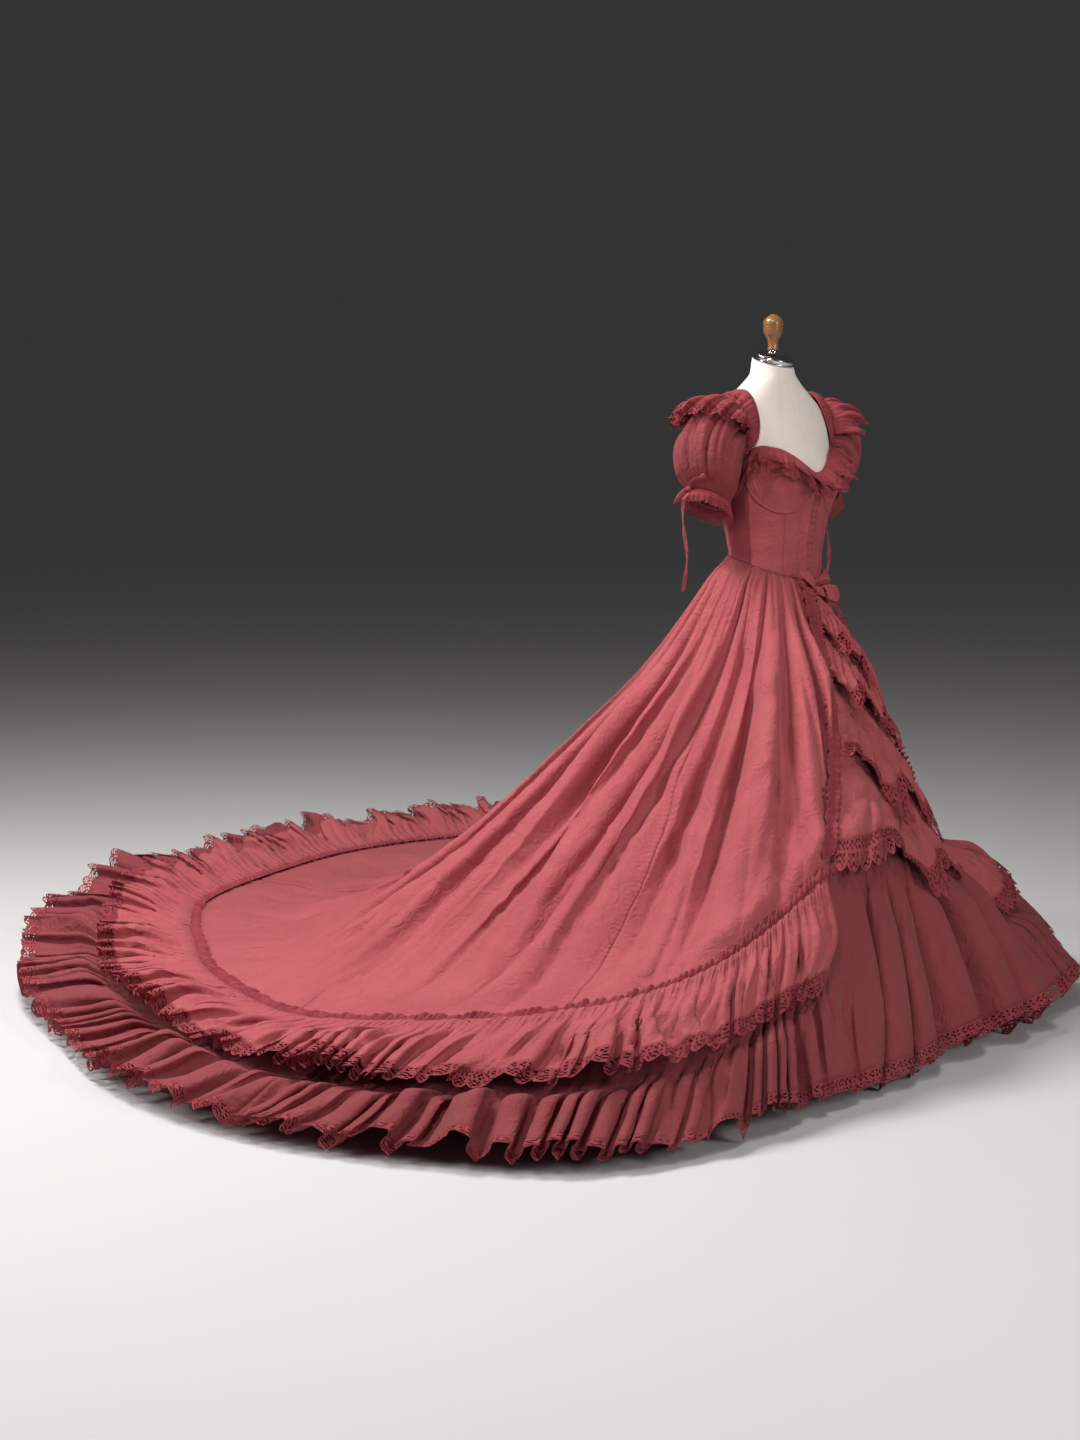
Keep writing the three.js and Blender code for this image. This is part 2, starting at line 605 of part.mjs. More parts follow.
// Outward direction used to lay one layer over another: square to the skirt, blended through
// the heading so that layers never cross.
function skirtNormal(phi, t) {
  const step = 0.04;
  const away = skirtBase(phi, t + step).sub(skirtBase(phi, Math.max(t - step, 0)));
  const run = Math.hypot(away.x, away.y);
  const lean = Math.hypot(run, away.z);
  return around(phi, -away.z / lean, run / lean);
}

function overSkirt(phi, t, out) {
  const point = skirtBase(phi, t);
  return point.addScaledVector(skirtNormal(phi, t), out);
}

function foldHeight(phi, t) {
  let out = 0;
  for (const fold of FOLDS) {
    const aside = Math.abs(((phi - fold.phi + 540) % 360) - 180) / fold.half;
    if (aside < 1) out += fold.out * (0.5 + 0.5 * Math.cos(Math.PI * aside));
  }
  return out * smooth(t, 0, 0.35) * (1 - smooth(t, 0.6, 0.97));
}

// Angle of an edge of the opening; the left edge is at a negative angle.
function openingEdge(side, t) {
  const { waist, heading } = OPENING[side];
  const angle = lerp(waist, heading, clamp(t, 0, 1) ** OPENING_CURVE);
  return side === 'left' ? -angle : angle;
}

function goreSheet(from, to) {
  return (u, v) => {
    const t = v * GORE_END;
    const start = from ?? openingEdge('right', t);
    const end = to ?? 360 + openingEdge('left', t);
    const phi = lerp(start, end, u);
    return overSkirt(phi, t, foldHeight(phi, t));
  };
}

function gores() {
  const seams = [null, ...GORES, null];
  for (let i = 0; i < seams.length - 1; i += 1) {
    addMesh(`skirt_gore_${i + 1}`, wall(goreSheet(seams[i], seams[i + 1]), { nu: 11, nv: 7 }),
      'cotton');
  }
}

// Angle reached after a share of the hem's length, so that waves are even along the hem.
function hemShares(from, to) {
  const steps = 720;
  const rows = [{ share: 0, phi: from }];
  let length = 0;
  for (let i = 1; i <= steps; i += 1) {
    const phi = lerp(from, to, i / steps);
    const last = rows[i - 1].phi;
    const move = around(phi, outline(phi, 'hemR'), 0);
    length += move.distanceTo(around(last, outline(last, 'hemR'), 0));
    rows.push({ share: length, phi });
  }
  return rows.map((row) => ({ share: row.share / length, phi: row.phi }));
}

function angleAt(rows, share) {
  const last = rows.length - 1;
  let low = 0;
  let high = last;
  while (high - low > 1) {
    const middle = (low + high) >> 1;
    if (rows[middle].share < share) low = middle;
    else high = middle;
  }
  const part = (share - rows[low].share) / (rows[high].share - rows[low].share);
  return lerp(rows[low].phi, rows[high].phi, part);
}

// Height of a tier's waves above the layer below; the waves are uneven round the hem.
function waveHeight(tier, share, phi) {
  const uneven = 0.35 * Math.sin(14 * Math.PI * share) + 0.25 * Math.sin(38 * Math.PI * share);
  const size = 0.72 + 0.28 * Math.sin(26 * Math.PI * share + 1);
  const crest = 0.5 - 0.5 * Math.cos(2 * Math.PI * tier.waves * share + uneven);
  return outline(phi, 'wave') * tier.share * size * crest;
}

// The waves open from nothing at a tier's gathered top to their full height near its edge.
function openness(tier, t) {
  return smooth(t, tier.start, lerp(tier.start, tier.end, 0.85));
}

function tierSheet(tier, rows, from, to) {
  return (u, v) => {
    const share = lerp(from, to, u);
    const phi = angleAt(rows, share);
    const t = lerp(tier.start, tier.end, v);
    const highest = outline(phi, 'wave') * LOWER.share * openness(LOWER, t);
    const below = tier === UPPER ? highest : 0;
    const wave = waveHeight(tier, share, phi) * openness(tier, t);
    return overSkirt(phi, t, tier.lift + below + wave);
  };
}

function tier(name, spec, startPhi, endPhi, nv, look) {
  const rows = hemShares(startPhi, endPhi);
  const columns = (spec.waves * COLUMNS_PER_WAVE) / spec.pieces;
  for (let i = 0; i < spec.pieces; i += 1) {
    const sheet = tierSheet(spec, rows, i / spec.pieces, (i + 1) / spec.pieces);
    addMesh(`${name}_${i + 1}`, wall(sheet, { nu: Math.round(columns), nv }), look);
  }
}

function tiers() {
  tier('upper_ruffle', UPPER, OPENING.right.heading, 360 - OPENING.left.heading, 2, 'cotton');
  tier('lower_ruffle', LOWER, 0, 360, 3, 'cotton');
}

// ---- the front opening --------------------------------------------------------------------
// An angle a given length away from an edge of the opening, positive lengths on the overskirt.
function besideEdge(side, t, length) {
  const edge = skirtBase(openingEdge(side, t), t);
  const turn = THREE.MathUtils.radToDeg(length / Math.hypot(edge.x, edge.y));
  return openingEdge(side, t) + (side === 'left' ? -turn : turn);
}

function frontPanelSheet() {
  return (u, v) => {
    const t = v * GORE_END;
    const right = besideEdge('right', t, -2 * TOUCH);
    const left = besideEdge('left', t, -2 * TOUCH);
    return overSkirt(lerp(left, right, u), t, 0);
  };
}

function swagSheet(swag) {
  return (u, v) => {
    const fall = clamp(v, 0, 1);
    const dip = 0.25 * Math.sin(Math.PI * u) + 0.12 * Math.sin(3 * Math.PI * u);
    const t = lerp(swag.left, swag.right, u) + swag.fall * v * (1 + dip);
    const right = besideEdge('right', t, -SWAG_OUT.inside);
    const left = besideEdge('left', t, -SWAG_OUT.inside);
    const wave = 0.5 - 0.5 * Math.cos(6 * Math.PI * u);
    const out = lerp(SWAG_OUT.top, SWAG_OUT.bottom, fall) + SWAG_OUT.wave * wave * fall;
    return overSkirt(lerp(left, right, u), t, out);
  };
}

function edgeFrillSheet(side) {
  const { from, to, width, waves, out } = EDGE_FRILL;
  return (u, v) => {
    const t = lerp(from, to, u);
    const phi = besideEdge(side, t, width * v);
    const wave = 0.5 - 0.5 * Math.cos(2 * Math.PI * waves * u);
    const lifted = EDGE_FRILL.wave * wave * (1 - clamp(v, 0, 1));
    return overSkirt(phi, t, foldHeight(phi, t) + out + lifted);
  };
}

function bowPetalSheet(root, { reach, rise, half }) {
  return (u, v) => {
    const halfWidth = half * Math.sin(Math.PI * clamp(0.08 + 0.9 * u, 0, 1)) ** 0.8 + 2;
    return new THREE.Vector3(
      root.x + reach * u,
      root.y - BOW.bulge * Math.sin(Math.PI * u) + 0.05 * Math.abs(reach) * u,
      root.z + rise * u + halfWidth * (2 * v - 1),
    );
  };
}

function frontOpening() {
  addMesh('front_panel', wall(frontPanelSheet(), { nu: 6, nv: 7 }), 'cotton');
  for (const swag of SWAGS) {
    addMesh(swag.name, wall(swagSheet(swag), { nu: 12, nv: 3 }), 'cotton');
  }
  addMesh('edge_frill_r', wall(edgeFrillSheet('right'), { nu: 40, nv: 1 }), 'lace');
  addMesh('edge_frill_l', wall(edgeFrillSheet('left'), { nu: 40, nv: 1 }), 'lace');
  const knot = overSkirt(0, BOW.t, BOW.out);
  const beside = new THREE.Vector3(BOW.beside, 0, 0);
  addMesh('bow_petal_r', wall(bowPetalSheet(knot.clone().sub(beside), BOW.right),
    { nu: 6, nv: 2 }), 'cotton');
  addMesh('bow_petal_l', wall(bowPetalSheet(knot.clone().add(beside), BOW.left),
    { nu: 6, nv: 2 }), 'cotton');
  const centre = addMesh('bow_knot', new THREE.SphereGeometry(BOW.knotR, 12, 8), 'cotton');
  centre.scale.set(0.75, 0.8, 1.15);
  centre.position.copy(knot);
}

formBody();
neckFittings();
stand();
bodice();
sleeves();
neckFrills();
gores();
tiers();
frontOpening();

export default gown;
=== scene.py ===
import math

import bmesh
import bpy
import numpy as np
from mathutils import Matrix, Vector


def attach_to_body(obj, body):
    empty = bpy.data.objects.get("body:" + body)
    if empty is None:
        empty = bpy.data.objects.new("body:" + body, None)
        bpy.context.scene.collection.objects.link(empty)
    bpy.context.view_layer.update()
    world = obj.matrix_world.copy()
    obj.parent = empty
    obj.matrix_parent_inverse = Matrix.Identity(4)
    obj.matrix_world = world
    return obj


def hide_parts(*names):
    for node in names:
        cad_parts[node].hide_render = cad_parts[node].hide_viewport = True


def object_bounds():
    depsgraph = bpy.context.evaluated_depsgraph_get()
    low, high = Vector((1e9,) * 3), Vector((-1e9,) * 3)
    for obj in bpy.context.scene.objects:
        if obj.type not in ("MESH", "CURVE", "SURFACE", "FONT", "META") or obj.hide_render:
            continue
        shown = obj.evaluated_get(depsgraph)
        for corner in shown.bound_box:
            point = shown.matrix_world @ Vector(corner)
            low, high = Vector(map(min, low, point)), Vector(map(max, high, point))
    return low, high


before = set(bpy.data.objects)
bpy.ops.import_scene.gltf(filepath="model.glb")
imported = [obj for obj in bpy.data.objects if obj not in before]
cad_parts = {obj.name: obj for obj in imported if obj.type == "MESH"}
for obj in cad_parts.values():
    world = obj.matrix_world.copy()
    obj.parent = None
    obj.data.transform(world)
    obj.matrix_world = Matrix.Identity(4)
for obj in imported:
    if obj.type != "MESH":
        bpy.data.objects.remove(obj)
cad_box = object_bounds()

# ==== Stand of the dress form ====================================================================
# A round cast foot in black enamel with a plated pole screwed into its hub. The skirt hides both
# from the front, and they show only from below or through the hem.
MM = 0.001
TOUCH = 0.3  # mm between pieces that bear on each other
ROUND_SEGMENTS = 72
SIDES = ((1, "r"), (-1, "l"))  # the wearer's right and left


def feed(tree, node, inputs):
    """Gives each of these inputs of a node its value, or a link where the value is a socket."""
    for key, value in inputs.items():
        if isinstance(value, bpy.types.NodeSocket):
            tree.links.new(value, node.inputs[key])
        else:
            node.inputs[key].default_value = value


def place_node(tree, kind, inputs=None, **settings):
    """Adds a shader or geometry node, sets its options and feeds its inputs."""
    node = tree.nodes.new(kind)
    for key, value in settings.items():
        setattr(node, key, value)
    feed(tree, node, inputs or {})
    return node


def start_material(name, colour, roughness, **inputs):
    """A material with its Principled shader; the names of further inputs use _ for a space."""
    material = bpy.data.materials.new(name)
    material.use_nodes = True
    shader = material.node_tree.nodes["Principled BSDF"]
    shader.inputs["Base Color"].default_value = (*colour, 1)
    shader.inputs["Roughness"].default_value = roughness
    for key, value in inputs.items():
        shader.inputs[key.replace("_", " ")].default_value = value
    return material, material.node_tree, shader


def start_group(name, inputs, outputs):
    """A shader node group with named sockets; returns it, what it is given and its output node."""
    group = bpy.data.node_groups.new(name, "ShaderNodeTree")
    for socket, kind in inputs.items():
        group.interface.new_socket(socket, in_out="INPUT", socket_type=kind)
    for socket, kind in outputs.items():
        group.interface.new_socket(socket, in_out="OUTPUT", socket_type=kind)
    given, out = group.nodes.new("NodeGroupInput"), group.nodes.new("NodeGroupOutput")
    return group, given.outputs, out


def make_mottle():
    """Uneven tone: mixes two colours by soft noise, larger patches under smaller ones."""
    group, given, out = start_group(
        "mottle",
        {"Vector": "NodeSocketVector", "Scale": "NodeSocketFloat", "Light": "NodeSocketColor",
         "Dark": "NodeSocketColor", "Amount": "NodeSocketFloat"},
        {"Color": "NodeSocketColor", "Mask": "NodeSocketFloat"},
    )
    patches = place_node(group, "ShaderNodeTexNoise", {
        "Vector": given["Vector"], "Scale": given["Scale"], "Detail": 5, "Roughness": 0.62})
    spread = place_node(group, "ShaderNodeMapRange", {
        "Value": patches.outputs["Fac"], "From Min": 0.32, "From Max": 0.68})
    share = place_node(group, "ShaderNodeMath", {
        0: spread.outputs["Result"], 1: given["Amount"]}, operation="MULTIPLY")
    mix = place_node(group, "ShaderNodeMix", {
        "Factor": share.outputs[0], 6: given["Light"], 7: given["Dark"]}, data_type="RGBA")
    feed(group, out, {"Color": mix.outputs[2], "Mask": spread.outputs["Result"]})
    return group


mottle = make_mottle()


def add_mottle(tree, shader, scale, light, dark, amount):
    """Places the mottle group in a material and feeds its base colour; returns the group node."""
    where = place_node(tree, "ShaderNodeTexCoord")
    tone = place_node(tree, "ShaderNodeGroup", {
        "Vector": where.outputs["Object"], "Scale": scale, "Light": (*light, 1),
        "Dark": (*dark, 1), "Amount": amount}, node_tree=mottle)
    feed(tree, shader, {"Base Color": tone.outputs["Color"]})
    return tone


def add_bump(tree, shader, height, distance, strength, **under):
    """Feeds a height into the shader's normal, on top of the Normal that is given, if any."""
    bump = place_node(tree, "ShaderNodeBump", {
        "Height": height, "Distance": distance, "Strength": strength, **under})
    feed(tree, shader, {"Normal": bump.outputs["Normal"]})


def metal_material(name, light, dark, roughness, grain, bump):
    material, tree, shader = start_material(name, light, roughness, Metallic=1.0)
    tone = add_mottle(tree, shader, grain, light, dark, 0.6)
    add_bump(tree, shader, tone.outputs["Mask"], bump, 0.4)
    return material


def turned_points(profile, tilt=0.0, centre=(0, 0, 0)):
    """Turns a profile of (radius, height) about its own axis, dipped to the front by tilt."""
    profile = np.array(profile, float)
    turn = np.linspace(0, 2 * np.pi, ROUND_SEGMENTS, endpoint=False)
    radius, height = profile[:, :1], profile[:, 1:]
    x = radius * np.cos(turn)
    y = radius * np.sin(turn)
    z = height + 0 * turn
    lean = math.radians(tilt)
    tilted = np.stack([x, y * math.cos(lean) - z * math.sin(lean),
                       y * math.sin(lean) + z * math.cos(lean)], axis=-1)
    return tilted + np.array(centre, float)


def place_object(name, data):
    """A new object with this data, in the scene."""
    made = bpy.data.objects.new(name, data)
    bpy.context.scene.collection.objects.link(made)
    return made


def evaluated_mesh(piece):
    """What an object's curve or modifiers make, as a plain mesh."""
    bpy.context.view_layer.update()
    seen = piece.evaluated_get(bpy.context.evaluated_depsgraph_get())
    return bpy.data.meshes.new_from_object(seen)


def mesh_object(name, points, faces, uv=None):
    """A smooth-shaded object from points in millimetres, its place in its mesh."""
    mesh = bpy.data.meshes.new(name)
    mesh.from_pydata([], [], [])
    mesh.vertices.add(len(points))
    mesh.vertices.foreach_set("co", (np.asarray(points, float) * MM).ravel())
    faces = np.asarray(faces, int)
    mesh.loops.add(faces.size)
    mesh.loops.foreach_set("vertex_index", faces.ravel())
    mesh.polygons.add(len(faces))
    mesh.polygons.foreach_set("loop_start", np.arange(0, faces.size, faces.shape[1]))
    mesh.update(calc_edges=True)
    if uv is not None:
        layer = mesh.uv_layers.new(name="cloth")
        layer.data.foreach_set("uv", np.asarray(uv, float)[faces.ravel()].ravel())
    mesh.shade_smooth()
    mesh.validate()
    return place_object(name, mesh)


def grid_faces(rows, columns, wraps=False):
    """Quads of a grid of points, rows x columns, closed round the columns where it wraps."""
    across = columns if wraps else columns - 1
    i, j = np.meshgrid(np.arange(across), np.arange(rows - 1))
    nxt = (i + 1) % columns
    corners = [j * columns + i, j * columns + nxt, (j + 1) * columns + nxt, (j + 1) * columns + i]
    return np.stack(corners, axis=-1).reshape(-1, 4)


def facing_out(points, faces, away_from):
    """Turns all faces round where most of them look towards the point away_from."""
    a, b, c = (points[faces[:, k]] for k in (0, 1, 2))
    normal = np.cross(b - a, c - a)
    toward = (points[faces].mean(axis=1) - np.array(away_from, float))
    return faces if np.sum(normal * toward) > 0 else faces[:, ::-1]


def turned_piece(name, profile, material, tilt=0.0, centre=(0, 0, 0)):
    """A solid of revolution; the profile runs from the axis to the axis."""
    points = turned_points(profile, tilt, centre).reshape(-1, 3)
    faces = grid_faces(len(profile), ROUND_SEGMENTS, wraps=True)
    middle = points.mean(axis=0)
    piece = mesh_object(name, points, facing_out(points, faces, middle))
    merge_ends(piece.data)
    piece.data.materials.append(material)
    return piece


def merge_ends(mesh):
    """Joins the points that fall together on the axis of a turned piece."""
    work = bmesh.new()
    work.from_mesh(mesh)
    bmesh.ops.remove_doubles(work, verts=work.verts, dist=1e-6)
    work.to_mesh(mesh)
    work.free()


def arc_profile(start, end, bulge, steps=8):
    """Points of a shallow arc between two profile points, bulging away from the axis."""
    share = np.linspace(0, 1, steps + 1)
    r = start[0] + (end[0] - start[0]) * share + bulge * np.sin(np.pi * share)
    z = start[1] + (end[1] - start[1]) * share
    return list(zip(r, z))


def attach(piece, slot, *nodes):
    """The piece rides on the part and stands for these nodes, if any; the slot is not used."""
    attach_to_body(piece, "root")
    if nodes:
        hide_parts(*nodes)
    return piece


iron = metal_material("black_enamel", (0.03, 0.03, 0.033), (0.015, 0.015, 0.016), 0.5, 60, 0.0006)
plated = metal_material("bright_plating", (0.72, 0.72, 0.73), (0.55, 0.55, 0.57), 0.16, 25, 0.0002)

base_r, base_h, hub_r, hub_h, pole_r = 230, 22, 32, 60, 15
neck_top, neck_tilt = 1538, 17
torso_foot = 760
foot_profile = [(0, 0), (base_r - 3, 0), (base_r, 3), (base_r, base_h * 0.5)]
foot_profile += arc_profile((base_r - 1, base_h * 0.6), (base_r - 14, base_h), 2)
foot_profile += arc_profile((base_r - 20, base_h + 0.4), (hub_r + 14, base_h + 3), 0)
foot_profile += arc_profile((hub_r + 10, base_h + 5), (hub_r, base_h + 16), -3)
foot_profile += [(hub_r, hub_h - 3), (hub_r - 3, hub_h), (0, hub_h)]
stand_foot = turned_piece("stand_foot", foot_profile, iron)
attach(stand_foot, "iron", "stand_base")

pole_profile = [(0, hub_h + TOUCH), (pole_r, hub_h + TOUCH), (pole_r, 380), (pole_r + 4, 384),
                (pole_r + 4, 412), (pole_r, 416), (pole_r, torso_foot - TOUCH),
                (0, torso_foot - TOUCH)]
stand_tube = turned_piece("stand_tube", pole_profile, plated)
attach(stand_tube, "chrome", "stand_pole")

# ==== Torso of the dress form ====================================================================
# A padded torso without limbs, covered in cream linen that is cut in panels and stretched tight:
# fine seams run down its centre, over each bust point and along the shoulders.


def table(columns, rows):
    """A table as a dictionary of named columns."""
    return dict(zip(columns, np.array(rows, float).T))


def read_curve(rows, key, column, at):
    """A smooth curve through one column of a table, read at each number of an array."""
    keys, values = rows[key], rows[column]
    at = np.clip(np.asarray(at, float), keys[0], keys[-1])
    i = np.clip(np.searchsorted(keys, at, side="left") - 1, 0, len(keys) - 2)
    before, after = np.maximum(i - 1, 0), np.minimum(i + 2, len(keys) - 1)
    span = keys[i + 1] - keys[i]
    f = (at - keys[i]) / span
    start = span * (values[i + 1] - values[before]) / (keys[i + 1] - keys[before])
    end = span * (values[after] - values[i]) / (keys[after] - keys[i])
    rise = values[i + 1] - values[i]
    return (values[i] + f * start + f * f * (3 * rise - 2 * start - end)
            + f * f * f * (start + end - 2 * rise))


def around(phi, radius, z):
    """The point at an angle round the body: 0 at centre front, 90 at the wearer's right."""
    turn = np.radians(phi)
    return np.stack(np.broadcast_arrays(-radius * np.sin(turn), -radius * np.cos(turn), z), -1)


def half_angle(phi):
    return np.abs((np.asarray(phi, float) + 180) % 360 - 180)


def smooth(x, low, high):
    share = np.clip((x - low) / (high - low), 0, 1)
    return share * share * (3 - 2 * share)


def lerp(a, b, share):
    return a + (b - a) * share


def swell(turn):
    """Rises from 0 to 1 and falls back once each full turn."""
    return 0.5 - 0.5 * np.cos(turn)


def bell(x, width=1.0):
    return np.exp(-((x / width) ** 2))


def arc_mm(degrees, radius):
    return degrees * np.pi / 180 * radius


def turned_from(phi, start):
    """Degrees from start to phi the short way round, between -180 and 180."""
    return np.mod(phi - start + 540, 360) - 180


def inside_ends(u, reach):
    """0 at both ends of a strip, 1 from this share of it inwards."""
    return smooth(np.minimum(u, 1 - u), 0.0, reach)


torso = table(("z", "half", "front", "back"), [
    (760, 168, 112, 118), (850, 178, 112, 130), (950, 156, 106, 108), (1070, 119, 106, 78),
    (1120, 126, 110, 82), (1180, 139, 118, 90), (1245, 150, 128, 96), (1300, 158, 122, 100),
    (1350, 165, 104, 98), (1400, 171, 80, 92), (1432, 160, 64, 88), (1456, 132, 55, 82),
    (1475, 106, 49, 75), (1492, 82, 46, 67), (1515, 56, 44, 57), (1560, 48, 43, 51),
])
bust = {"phi": 34, "z": 1255, "rise": 15, "spread_phi": 22, "spread_z": 46}


def torso_radius(phi, z, grow=0.0):
    turn = np.radians(phi)
    half = read_curve(torso, "z", "half", z) + grow
    front = read_curve(torso, "z", "front", z) + grow
    back = read_curve(torso, "z", "back", z) + grow
    depth = np.where(np.cos(turn) > 0, front, back)
    ellipse = 1 / np.hypot(np.sin(turn) / half, np.cos(turn) / depth)
    aside = (half_angle(phi) - bust["phi"]) / bust["spread_phi"]
    above = (z - bust["z"]) / bust["spread_z"]
    return ellipse + bust["rise"] * np.exp(-aside**2 - above**2)


def on_torso(phi, z, grow=0.0):
    return around(phi, torso_radius(phi, z, grow), z)


def make_weave():
    """Height of a plain weave: threads go over and under each other, across and along."""
    group, given, out = start_group(
        "plain_weave",
        {"Vector": "NodeSocketVector", "Threads": "NodeSocketFloat"},
        {"Height": "NodeSocketFloat"},
    )
    heights = []
    for direction in ("X", "Y"):
        threads = place_node(group, "ShaderNodeTexWave", {
            "Vector": given["Vector"], "Scale": given["Threads"], "Distortion": 0.6,
            "Detail": 1.0}, bands_direction=direction)
        heights.append(threads.outputs["Fac"])
    over = place_node(group, "ShaderNodeMath", dict(enumerate(heights)), operation="MAXIMUM")
    feed(group, out, {"Height": over.outputs[0]})
    return group


def make_crinkle():
    """Height of small soft creases: ridged noise in two sizes, drawn out by its own distortion."""
    group, given, out = start_group(
        "crinkle",
        {"Vector": "NodeSocketVector", "Scale": "NodeSocketFloat"},
        {"Height": "NodeSocketFloat"},
    )
    noise = place_node(group, "ShaderNodeTexNoise", {
        "Vector": given["Vector"], "Scale": given["Scale"], "Detail": 4, "Roughness": 0.55,
        "Distortion": 0.8})
    height = noise.outputs["Fac"]
    for operation, second in (("SUBTRACT", {1: 0.5}), ("ABSOLUTE", {}), ("MULTIPLY", {1: 3.0})):
        step = place_node(group, "ShaderNodeMath", {0: height, **second}, operation=operation)
        height = step.outputs[0]
    feed(group, out, {"Height": height})
    return group


def make_puckers():
    """Height of fine gathers below a seam and of the small cross puckers along a sewn line."""
    group, given, out = start_group(
        "sewing_puckers",
        {"Vector": "NodeSocketVector", "Gather": "NodeSocketFloat", "Pucker": "NodeSocketFloat",
         "Pitch": "NodeSocketFloat"},
        {"Height": "NodeSocketFloat"},
    )
    shares = []
    for direction, strength in (("X", "Gather"), ("Y", "Pucker")):
        rows = place_node(group, "ShaderNodeTexWave", {
            "Vector": given["Vector"], "Scale": given["Pitch"], "Distortion": 2.5,
            "Detail": 2.0}, bands_direction=direction)
        share = place_node(group, "ShaderNodeMath", {
            0: rows.outputs["Fac"], 1: given[strength]}, operation="MULTIPLY")
        shares.append(share.outputs[0])
    both = place_node(group, "ShaderNodeMath", dict(enumerate(shares)), operation="ADD")
    feed(group, out, {"Height": both.outputs[0]})
    return group


weave = make_weave()
crinkle = make_crinkle()
puckers = make_puckers()
pucker_pitch = 22  # puckers in a metre of the map
pucker_depth, thread_depth = 0.003, 0.0001  # metres


def cloth_material(name, light, dark, threads, patch_scale, crinkle_scale, crinkle_depth,
                   roughness=0.9, sheen=0.04, amount=0.75):
    """Woven cloth: mottled dye, fine crinkles in object space, threads along its own cut."""
    material, tree, shader = start_material(name, light, roughness, Sheen_Weight=sheen,
                                            Sheen_Roughness=0.5)
    shader.inputs["Specular IOR Level"].default_value = 0.25
    add_mottle(tree, shader, patch_scale, light, dark, amount)
    where = place_node(tree, "ShaderNodeTexCoord").outputs
    creases = place_node(tree, "ShaderNodeGroup", {
        "Vector": where["Object"], "Scale": crinkle_scale}, node_tree=crinkle)
    soft = place_node(tree, "ShaderNodeBump", {
        "Height": creases.outputs["Height"], "Strength": 1.0, "Distance": crinkle_depth})
    sewn = place_node(tree, "ShaderNodeGroup", {
        "Vector": where["UV"], "Pitch": pucker_pitch}, node_tree=puckers)
    for socket in ("Gather", "Pucker"):
        held = place_node(tree, "ShaderNodeAttribute", attribute_name=socket.lower())
        feed(tree, sewn, {socket: held.outputs["Fac"]})
    gathered = place_node(tree, "ShaderNodeBump", {
        "Height": sewn.outputs["Height"], "Strength": 1.0, "Distance": pucker_depth})
    feed(tree, soft, {"Normal": gathered.outputs["Normal"]})
    woven = place_node(tree, "ShaderNodeGroup", {
        "Vector": where["UV"], "Threads": threads}, node_tree=weave)
    add_bump(tree, shader, woven.outputs["Height"], thread_depth, 0.5,
             Normal=soft.outputs["Normal"])
    return material


linen = cloth_material("cream_linen", (0.86, 0.76, 0.69), (0.78, 0.68, 0.60), 900, 9, 18,
                          0.0006, roughness=0.9, sheen=0.03, amount=0.5)

torso_columns, torso_rows = 96, 80
seam_sunk, seam_half = 0.9, 1.3  # mm deep, degrees
collar_drop = 24  # mm of plain neck between the torso and the plate
form_seams = {"centre": 0, "bust": 34, "bust_other": 326, "back": 180, "blade": 150,
              "blade_other": 210}
form_phi = np.linspace(0, 360, torso_columns, endpoint=False)
form_z = np.linspace(torso_foot, neck_top - collar_drop, torso_rows)
grid_phi, grid_z = np.meshgrid(form_phi, form_z)
seam_depth = np.zeros_like(grid_phi)
for seam_phi in form_seams.values():
    seam_depth += seam_sunk * bell(half_angle(grid_phi - seam_phi), seam_half)
form_side = on_torso(grid_phi, grid_z, -seam_depth)
rim = on_torso(form_phi, np.full_like(form_phi, neck_top))
rim[:, 2] = neck_top + rim[:, 1] * math.tan(math.radians(neck_tilt))
rise = np.linspace(0, 1, 7)[1:, None, None]
form_neck = lerp(form_side[-1][None], rim[None], rise)
inward = np.array([0.985, 0.6, 0.0])[:, None, None]
form_top = rim[None] * np.array([1, 1, 0]) * inward + np.array([0, 0, 1]) * (
    neck_top + (rim[None, :, 2:] - neck_top) * inward)
form_under = form_side[:1] * np.array([1, 1, 0]) * np.array([0.0, 0.6, 0.97])[:, None, None]
form_under[..., 2] = torso_foot
form_points = np.concatenate([form_under, form_side, form_neck, form_top]).reshape(-1, 3)
form_faces = grid_faces(len(form_points) // torso_columns, torso_columns, wraps=True)
form_cover = mesh_object("form_cover", form_points,
                         facing_out(form_points, form_faces, (0, 0, 1200)),
                         uv=np.stack([form_points[:, 0] + form_points[:, 1],
                                      form_points[:, 2]], -1) * MM)
merge_ends(form_cover.data)
form_cover.data.materials.append(linen)
attach(form_cover, "linen", "form_body")

# ==== Neck plate and knob of the form ============================================================
# A plated cap closes the neck, dipping to the front, with a small set screw in its edge. A turned
# and varnished wooden knob stands upright on it in a metal ferrule.
cap_r, cap_h, cap_back = 49, 17, 4
cap_centre = (0, cap_back, neck_top + cap_back * math.tan(math.radians(neck_tilt)) + TOUCH)
cap_profile = [(0, 0), (cap_r - 1.5, 0), (cap_r, 1.5), (cap_r, 4), (cap_r - 1, 5.2), (cap_r, 6.4),
               (cap_r, cap_h - 5)]
cap_profile += arc_profile((cap_r, cap_h - 4.5), (cap_r - 4, cap_h), 1.2)
cap_profile += [(cap_r - 10, cap_h), (cap_r - 11, cap_h - 0.6), (14, cap_h - 0.6), (0, cap_h)]
neck_plate = turned_piece("neck_plate", cap_profile, plated, tilt=neck_tilt, centre=cap_centre)
attach(neck_plate, "chrome", "neck_cap")

